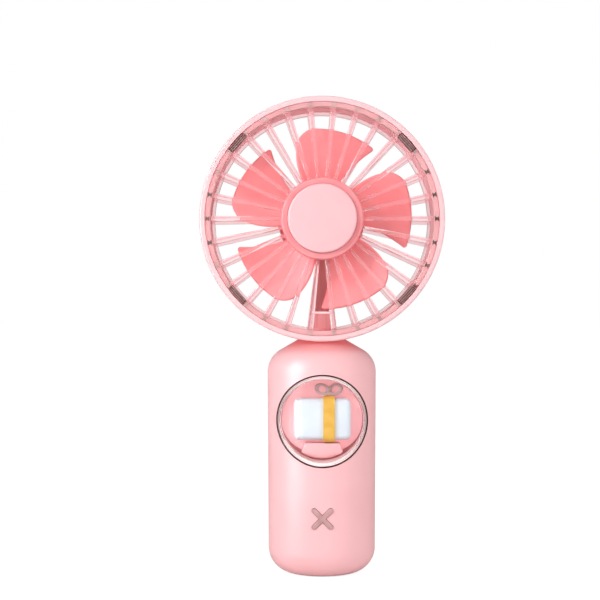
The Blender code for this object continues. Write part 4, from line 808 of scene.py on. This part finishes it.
def grown(name, tree, values, points=(), place=None):
    # Runs a node tree on an object of its own and keeps the result as a plain mesh.
    mesh = bpy.data.meshes.new(name)
    mesh.from_pydata([Vector(spot) * mm for spot, turn in points], [], [])
    turns = mesh.attributes.new("turn", "FLOAT", "POINT")
    for i, (spot, turn) in enumerate(points):
        turns.data[i].value = turn
    item = addItem(name, mesh)
    step = item.modifiers.new(tree.name, "NODES")
    step.node_group = tree
    for socket in tree.interface.items_tree:
        if socket.in_out == "INPUT" and socket.name in values:
            step[socket.identifier] = values[socket.name]
    settle(item)
    if place:
        item.data.transform(place)
    return item


ribRing = ribTree()
copiesAtPoints = copyTree()


def ribSet(name, inner, outer, hubFaces, rimFaces):
    sizes = (inner, outer, ribs["hubWidth"], ribs["rimWidth"], *hubFaces, *rimFaces)
    values = {socket: size * mm for socket, size in zip(ribLengths, sizes)}
    values |= {"Count": fan["ribCount"], "Fillet": ribs["fillet"], "Material": tintedPc}
    return grown(name, ribRing, values, (), head)


def copiesRound(name, form, surface, turns):
    points = [((0, 0, 0), math.radians(turn)) for turn in turns]
    return grown(name, copiesAtPoints, {"Piece": form, "Material": surface}, points, head)


def hollowRing(name, outer, inner, front, back, steps):
    profile = [(outer, front), (outer, back), (inner, back), (inner, front)]
    return turned(name, softened(profile, fan["ringRounding"]), steps, head, True)


frontGrille = dict(
    rim=(45.5, 43.5),
    back=10.3,
    hub=16.0,
    hubFace=16.4,
    hubFloor=11.5,
    hubSlope=(0.4, 1.2),     # across and down
    hubRounding=0.4,
    ribRoot=0.9,             # how far the ribs run into the hub
    capSeat=13.45,
    peg=2.7,
    bridge=36.0,             # short bar between the two lowest ribs
    bridgeHeight=0.9,
    bridgeInset=0.3,
    bridgeRounding=0.2,
)
clips = dict(
    turns=[42, 138, 222, 318],
    width=8.2,
    height=2.2,
    depth=3.4,
    rounding=0.15,
    notch=(42.5, 4.4),       # inner radius and half width of the gap in the rim
    ridges=3,
    ridge=0.3,
    ridgeShare=0.56,
    ridgeEnd=0.25,
    ridgeRounding=0.08,
    ridgeSunk=0.1,
)


def clipNotches():
    low, wide = clips["notch"]
    return [block("clipNotch", (low, -wide, 0), (hoop["radius"], wide, far), 0,
                  head @ Matrix.Rotation(math.radians(turn), 4, "Z")) for turn in clips["turns"]]


def frontGuard():
    s = frontGrille
    outer, inner = s["rim"]
    face, foot, back = fan["rimFace"], fan["rimBack"], s["back"]
    rim = hollowRing("grilleRim", outer, inner, face, foot, hoop["steps"])
    tall = back + ribs["rimDepth"]
    ribBars = ribSet("grilleRibs", s["hub"] - s["ribRoot"], (outer + inner) / 2,
                     (back, back + ribs["hubDepth"]), (back, tall))
    half = s["bridge"] * math.sin(math.pi / fan["ribCount"])
    bridge = block("strutBridge", (-half, -s["bridge"] - s["bridgeHeight"], back + s["bridgeInset"]),
                   (half, -s["bridge"], tall), s["bridgeRounding"], head)
    notches = clipNotches()
    carve(ribBars, notches)
    carve(rim, notches)
    wide, top, floor, (across, down) = s["hub"], s["hubFace"], s["hubFloor"], s["hubSlope"]
    profile = [(s["capSeat"], top), (wide - across, top), (wide, top - down), (wide, foot), (s["peg"], foot),
               (s["peg"], floor), (s["capSeat"], floor)]
    hub = turned("grilleHub", softened(profile, s["hubRounding"], 5), fan["steps"], head, True)
    # The bridge takes the hoop's milky pink, paler than the ribs: a painted highlight for the light bar
    # across the strut.
    for item, surface in ((bridge, milkyPc), (ribBars, tintedPc), (rim, dustyPc), (hub, hubCoral)):
        dress(item, surface, "front_guard", "translucent_pink_pc", "front_grille")


frontGuard()

cap = dict(radius=13.4, face=18.4, back=11.8, peg=2.4, edge=0.9)


def grilleCap():
    radius, face, back, peg, edge = cap.values()
    profile = [(0, face)] + arc((radius - edge, face - edge), edge, 90, 0, 8)
    profile += [(radius, back), (peg, back), (peg, fan["rimBack"]), (0, fan["rimBack"])]
    made = turned("grilleCap", profile, fan["steps"], head)
    dress(made, palePinkAbs, "front_guard", "pale_pink_abs", "grille_cap")


grilleCap()

rearGrille = dict(
    rim=(45.3, 42.8),
    front=-9.0,
    back=-12.6,
    hub=(17.2, 14.9),
    hubFront=-9.5,
    hubBack=-13.1,
    inset=0.3,               # of the ribs between the faces of hub and rim
)


def rearGuard():
    s = rearGrille
    outer, inner = s["rim"]
    wide, bore = s["hub"]
    rim = hollowRing("rearRim", outer, inner, s["front"], s["back"], hoop["steps"])
    hub = hollowRing("rearHub", wide, bore, s["hubFront"], s["hubBack"], fan["steps"])
    back = s["back"] + s["inset"]
    ribBars = ribSet("rearGrille", (wide + bore) / 2, (outer + inner) / 2,
                     (s["hubBack"] + s["inset"], s["hubFront"] - s["inset"]), (back, back + ribs["rimDepth"]))
    for item, surface in ((hub, hubCoral), (ribBars, tintedPc), (rim, pearlPc)):
        dress(item, surface, "housing", "translucent_pink_pc", "rear_grille")


rearGuard()

cover = dict(
    radius=17.0,
    face=-15.3,
    seat=-13.7,
    edge=0.9,
    boss=(4.7, -12.2),       # radius and face of the boss behind the motor
    groove=(13.0, 12.7, 12.3, 12.0),
    grooveFloor=-14.9,
    grooveEdge=0.15,
)


def motorCover():
    s = cover
    radius, face, seat, edge = s["radius"], s["face"], s["seat"], s["edge"]
    boss, top = s["boss"]
    groove = zip(s["groove"], (face, s["grooveFloor"], s["grooveFloor"], face))
    profile = [(0, top), (boss, top), (boss, seat), (radius, seat)]
    profile += arc((radius - edge, face + edge), edge, 0, -90, 8)
    profile += softened(list(groove), s["grooveEdge"], 3, False) + [(0, face)]
    made = turned("motorCover", profile, fan["steps"], head)
    dress(made, palePinkAbs, "housing", "pale_pink_abs", "motor_cover")


motorCover()


def guardClips():
    s = clips
    half, foot = s["width"] / 2, fan["rimBack"]
    outer = math.sqrt(frontGrille["rim"][0] ** 2 - half ** 2)
    inner = outer - s["height"]
    face = foot + s["depth"]
    body = block("clipForm", (inner, -half, foot), (outer, half, face - s["ridge"]), s["rounding"])
    # Drawn ridges run along each clip.
    pitch = (outer - inner) / s["ridges"]
    size = (pitch * s["ridgeShare"], s["width"] - 2 * s["ridgeEnd"], s["ridge"] + s["ridgeSunk"], 1.0)
    form = bmesh.new()
    for i in range(s["ridges"]):
        spot = Matrix.Translation((inner + pitch * (i + 0.5), 0, face - size[2] / 2))
        bmesh.ops.create_cube(form, size=1.0, matrix=spot @ Matrix.Diagonal(size))
    bmesh.ops.bevel(form, geom=form.edges, offset=s["ridgeRounding"], segments=2, profile=0.5, affect="EDGES")
    ridges = makeItem("ridgeForm", form)
    for name, shape, surface in (("guardClips", body, clipBrown), ("clipRidges", ridges, ridgeBrown)):
        dress(copiesRound(name, shape, surface, s["turns"]), surface, "housing", "brown_clip_plastic",
              "guard_clip_1", "guard_clip_2", "guard_clip_3", "guard_clip_4")


guardClips()

sink = dict(
    radius=44.5,
    width=2.1,
    waist=0.9,
    waistLength=0.3,
    height=1.55,
    thickness=0.12,
    sunk=0.1,
    bold=[24, 12, 0, -12, -24, -36, 168, 180, 192],
)


def sinkMarks():
    # Bow-tie marks of painted shade on the rim, one at each rib, boldest at the sides.
    s = sink
    half, waist, tall, slim = s["width"] / 2, s["waist"] / 2, s["height"] / 2, s["waistLength"] / 2
    outline = [(tall, half), (slim, waist), (-slim, waist), (-tall, half)]
    outline += [(x, -y) for x, y in outline[::-1]]
    mark = prism("sinkForm", outline, fan["rimFace"] - s["sunk"], fan["rimFace"] + s["thickness"])
    mark.data.transform(Matrix.Translation((s["radius"] * mm, 0, 0)))
    bold = [turn % 360 for turn in s["bold"]]
    faint = [turn for turn in range(0, 360, 360 // fan["ribCount"]) if turn not in bold]
    notches = clipNotches()
    for name, turns, surface in (("boldMarks", bold, boldSinkShade), ("faintMarks", faint, faintSinkShade)):
        made = carve(copiesRound(name, mark, surface, turns), notches)
        dress(made, surface, "front_guard", "translucent_pink_pc")


sinkMarks()


# Rotor

print("rotor")
rotor = dict(
    count=5,
    tip=36.2,
    tipFall=1.0,
    thickness=1.3,
    trail=117.0,
    trailSweep=14.5,
    lead=66.5,
    leadSweep=14.0,
    rounding=5.0,            # trailing corner of a blade
    point=1.5,               # leading corner
    camber=0.28,
    lip=0.7,
    front=8.6,
    rear=-3.0,
    hub=14.6,
    bore=13.0,
    wall=1.6,
    boss=3.0,
    bossDepth=4.0,
    shaft=1.15,
    chamfer=0.8,
    hubRounding=0.2,
    grid=(48, 26),           # faces across a blade and out along it
)


def bladePoint(chord, span):
    s = rotor
    root = s["hub"] - s["wall"] / 2
    length = s["tip"] - root
    width = s["tip"] * math.radians(s["trail"] - s["lead"])
    reach = 1 - s["tipFall"] / length * chord
    for radius, distance in ((s["rounding"], chord * width), (s["point"], (1 - chord) * width)):
        if distance < radius:
            reach -= (radius - math.sqrt(radius ** 2 - (radius - distance) ** 2)) / length
    span = span * reach
    trail = s["trail"] - s["trailSweep"] * span ** 2
    lead = s["lead"] - s["leadSweep"] * span
    angle = math.radians(trail + (lead - trail) * chord)
    radius = root + length * span
    rear = s["rear"] + s["thickness"]
    front = s["front"] - s["chamfer"] - s["thickness"]
    fall = chord + s["camber"] * chord * (1 - chord)
    return Vector((radius * math.cos(angle), radius * math.sin(angle), front + (rear - front) * fall))


def bladeForm():
    # Two skins that meet in a round lip along the free edges.
    across, out = rotor["grid"]
    chords = [(1 - math.cos(math.pi * i / across)) / 2 for i in range(across + 1)]
    spans = [math.sin(math.pi / 2 * j / out) for j in range(out + 1)]
    width = rotor["tip"] * math.radians(rotor["trail"] - rotor["lead"])
    length = rotor["tip"] - rotor["hub"]
    nudge = 0.01

    def lip(distance):
        share = min(1.0, max(0.0, distance) / rotor["lip"])
        return math.sqrt(1 - (1 - share) ** 2)

    form = bmesh.new()
    skins = []
    for side in (0.5, -0.5):
        rows = []
        for c in chords:
            row = []
            for s in spans:
                alongC = bladePoint(min(c + nudge, 0.999), s) - bladePoint(max(c - nudge, 0.001), s)
                alongS = bladePoint(c, min(s + nudge, 1)) - bladePoint(c, max(s - nudge, 0))
                normal = alongC.cross(alongS).normalized()
                thick = min(lip(c * width), lip((1 - c) * width), lip((1 - s) * length))
                row.append(form.verts.new(bladePoint(c, s) + normal * side * rotor["thickness"] * thick))
            rows.append(row)
        skins.append(rows)
        for i in range(across):
            for j in range(out):
                form.faces.new((rows[i][j], rows[i + 1][j], rows[i + 1][j + 1], rows[i][j + 1]))
    for i in range(across):
        form.faces.new((skins[0][i][0], skins[0][i + 1][0], skins[1][i + 1][0], skins[1][i][0]))
    bmesh.ops.remove_doubles(form, verts=form.verts, dist=0.0005)
    bmesh.ops.recalc_face_normals(form, faces=form.faces)
    return form


def fanRotor():
    s = rotor
    front, rear, wide, cut = s["front"], s["rear"], s["hub"], s["chamfer"]
    ceiling, floor = front - s["wall"], front - s["bossDepth"]
    bore, boss, shaft = s["bore"], s["boss"], s["shaft"]
    profile = [(wide - cut, front), (wide, front - cut), (wide, rear), (bore, rear), (bore, ceiling),
               (boss, ceiling), (boss, floor), (shaft, floor), (shaft, front)]
    hub = turned("fanRotor", softened(profile, s["hubRounding"], 3), fan["steps"], head, True)
    blades = [makeItem("blade", bladeForm(), head @ Matrix.Rotation(2 * math.pi * i / s["count"], 4, "Z"), 60)
              for i in range(s["count"])]
    carve(hub, blades, "UNION", 50)
    dress(hub, coral, "rotor", "coral_plastic", "fan_rotor")


fanRotor()


# Screws and CAD nodes

print("screws")
screw = dict(
    head=1.8,
    height=1.5,
    crown=0.9,
    shank=0.95,
    length=15.0,
    seat=8.9,
    slot=(1.1, 0.22),        # half length and half width
    slotDepth=0.8,
)


def shellScrews():
    s = screw
    wide, tall, crown, thin, tip = s["head"], s["height"], s["crown"], s["shank"], -s["length"]
    profile = [(0, tall)] + arc((wide - crown, tall - crown), crown, 90, 0, 6)
    profile += [(wide, 0), (thin, 0), (thin, tip + tall), (0, tip)]
    form = turned("screwForm", profile, 40)
    reach, half = s["slot"]
    carve(form, [block("recess", (-x, -y, tall - s["slotDepth"]), (x, y, 2 * tall))
                 for x, y in ((reach, half), (half, reach))])
    form.data.transform(Matrix.Rotation(-math.pi / 2, 4, "X"))
    points = [((side * x, s["seat"], z), 0.0) for side in (1, -1) for x, z in grip["screws"]]
    made = grown("shellScrews", copiesAtPoints, {"Piece": form, "Material": platedSteel}, points)
    dress(made, platedSteel, "housing", "plated_steel", "shell_screw_1", "shell_screw_2", "shell_screw_3",
          "shell_screw_4")


shellScrews()

print("CAD nodes")
cadFinishes = {
    strutCoral: ["motor_bracket"],
    whiteAbs: ["switch_plunger", "status_led", "motor_end_bell"],
    blackPlastic: ["switch_body", "charge_chip", "usb_tongue"],
    boardGreen: ["main_board"],
    platedSteel: ["board_screw_1", "board_screw_2", "usb_shell", "battery_cap", "motor_can", "motor_shaft"],
    nickelStrip: ["battery_tab_top", "battery_tab_bottom"],
    bronze: ["motor_bush"],
    copper: ["motor_armature", "motor_commutator", "motor_terminal_1", "motor_terminal_2"],
    ferrite: ["motor_magnet", "power_inductor"],
    cellSleeve: ["battery_cell"],
    blackFoam: ["battery_pad"],
    redJacket: ["motor_cable", "battery_cable"],
}
for surface, names in cadFinishes.items():
    for name in names:
        nodes[name].data.materials.clear()
        nodes[name].data.materials.append(surface)


# Stage

print("stage")
studio = dict(
    ambient=0.5,
    gloss=0.3,
    cards=0.5,
    cardEdge=(0.35, 0.8),
    floorGlow=0.84,
    floorHalf=6000,
    floorFaces=(-20, -0.05),
    aimHeight=0.1,
    # The gleam card only draws the soft line down the grip. The other panels light the surfaces.
    gleam="gleamCard",
    lamps={                  # place and size in m, and power in watts
        "gleamCard": ((-0.305, -0.19, 0.205), (0.2, 0.4), 2.4),
        "keyPanel": ((-0.8, -0.5, 0.34), (0.25, 0.6), 3.4),
        "frontPanel": ((-0.25, -1.3, 0.15), (0.6, 0.5), 1.0),
        "highPanel": ((-0.5, -0.6, 0.5), (0.12, 0.12), 2.6),
        "fillPanel": ((0.9, -0.6, 0.3), (0.5, 0.7), 4.8),
    },
    eye=(-0.0086, -0.600, 0.1074),
    sensor=36,
    lens=90.8,
)


def seenRays(tree):
    # 1 for what the camera sees, straight on or through clear plastic, and 0 for light on surfaces.
    path = addNode(tree, "ShaderNodeLightPath").outputs
    seen = reckon(tree, "MAXIMUM", path["Is Camera Ray"], path["Is Transmission Ray"])
    return path, reckon(tree, "MULTIPLY", seen, reckon(tree, "LESS_THAN", path["Diffuse Depth"], 0.5))


def emptyTree(owner):
    owner.use_nodes = True
    owner.node_tree.nodes.clear()
    return owner.node_tree


def room():
    s = studio
    world = bpy.data.worlds.new("studio")
    bpy.context.scene.world = world
    tree = emptyTree(world)
    path, seen = seenRays(tree)
    # Dark cards at the sides draw the edges of clear pieces. The camera itself sees plain white.
    aim = addNode(tree, "ShaderNodeTexCoord").outputs["Generated"]
    aim = addNode(tree, "ShaderNodeSeparateXYZ", {0: aim}).outputs["X"]
    near, wide = s["cardEdge"]
    card = addNode(tree, "ShaderNodeMapRange", {
        "Value": reckon(tree, "ABSOLUTE", aim), "From Min": near, "From Max": wide, "To Min": 1.0,
        "To Max": s["cards"]}, interpolation_type="SMOOTHSTEP")
    bright = reckon(tree, "MAXIMUM", card.outputs["Result"], path["Is Camera Ray"])
    # Gloss sees a dimmer room, so that edges stay as deep in colour as the middle.
    dim = addNode(tree, "ShaderNodeMapRange", {
        "Value": path["Is Glossy Ray"], "To Min": s["ambient"], "To Max": s["gloss"]})
    light = addNode(tree, "ShaderNodeBackground", {"Color": hexColour("#FFFCFA"), "Strength": dim})
    white = addNode(tree, "ShaderNodeBackground", {"Color": (1, 1, 1, 1), "Strength": bright})
    mix = addNode(tree, "ShaderNodeMixShader", {0: seen, 1: light, 2: white})
    addNode(tree, "ShaderNodeOutputWorld", {"Surface": mix})


def floorSlab():
    half, (low, high) = studio["floorHalf"], studio["floorFaces"]
    floor = block("floor", (-half, -half, low), (half, half, high))
    spare.remove(floor)
    surface = bpy.data.materials.new("paleFloor")
    tree = emptyTree(surface)
    path, seen = seenRays(tree)
    # Pale to the light it returns, and mid grey under its own glow where it is seen, or without it in gloss.
    looked = reckon(tree, "MAXIMUM", seen, path["Is Glossy Ray"])
    tone = addNode(tree, "ShaderNodeMix", {
        "Factor": looked, 6: hexColour("#EDEBEA"), 7: hexColour("#ABA8A6")}, data_type="RGBA")
    paper = addNode(tree, "ShaderNodeBsdfDiffuse", {"Color": tone.outputs[2]})
    glow = reckon(tree, "MULTIPLY", seen, studio["floorGlow"])
    lift = addNode(tree, "ShaderNodeEmission", {"Color": (1, 1, 1, 1), "Strength": glow})
    both = addNode(tree, "ShaderNodeAddShader", {0: paper, 1: lift})
    addNode(tree, "ShaderNodeOutputMaterial", {"Surface": both})
    floor.data.materials.append(surface)


def lampsAndCamera():
    scene = bpy.context.scene
    scene.view_settings.view_transform = "Standard"
    for name, (spot, size, watts) in studio["lamps"].items():
        gleam = name == studio["gleam"]
        lamp = bpy.data.lights.new(name, "AREA")
        lamp.shape = "RECTANGLE"
        lamp.size, lamp.size_y = size
        lamp.energy = watts
        item = bpy.data.objects.new(name, lamp)
        item.location = spot
        aim = Vector((0, 0, spot[2] if gleam else studio["aimHeight"]))
        item.rotation_euler = (aim - Vector(spot)).to_track_quat("-Z", "Y").to_euler()
        item.visible_glossy = gleam
        item.visible_diffuse = not gleam
        scene.collection.objects.link(item)

    camera = bpy.data.cameras.new("camera")
    camera.sensor_width = studio["sensor"]
    camera.lens = studio["lens"]
    camera.clip_end = 30
    eye = bpy.data.objects.new("camera", camera)
    eye.location = studio["eye"]
    eye.rotation_euler = (math.pi / 2, 0, 0)
    scene.collection.objects.link(eye)
    scene.camera = eye


room()
floorSlab()
lampsAndCamera()
for item in spare:
    bpy.data.objects.remove(item)

print("done")
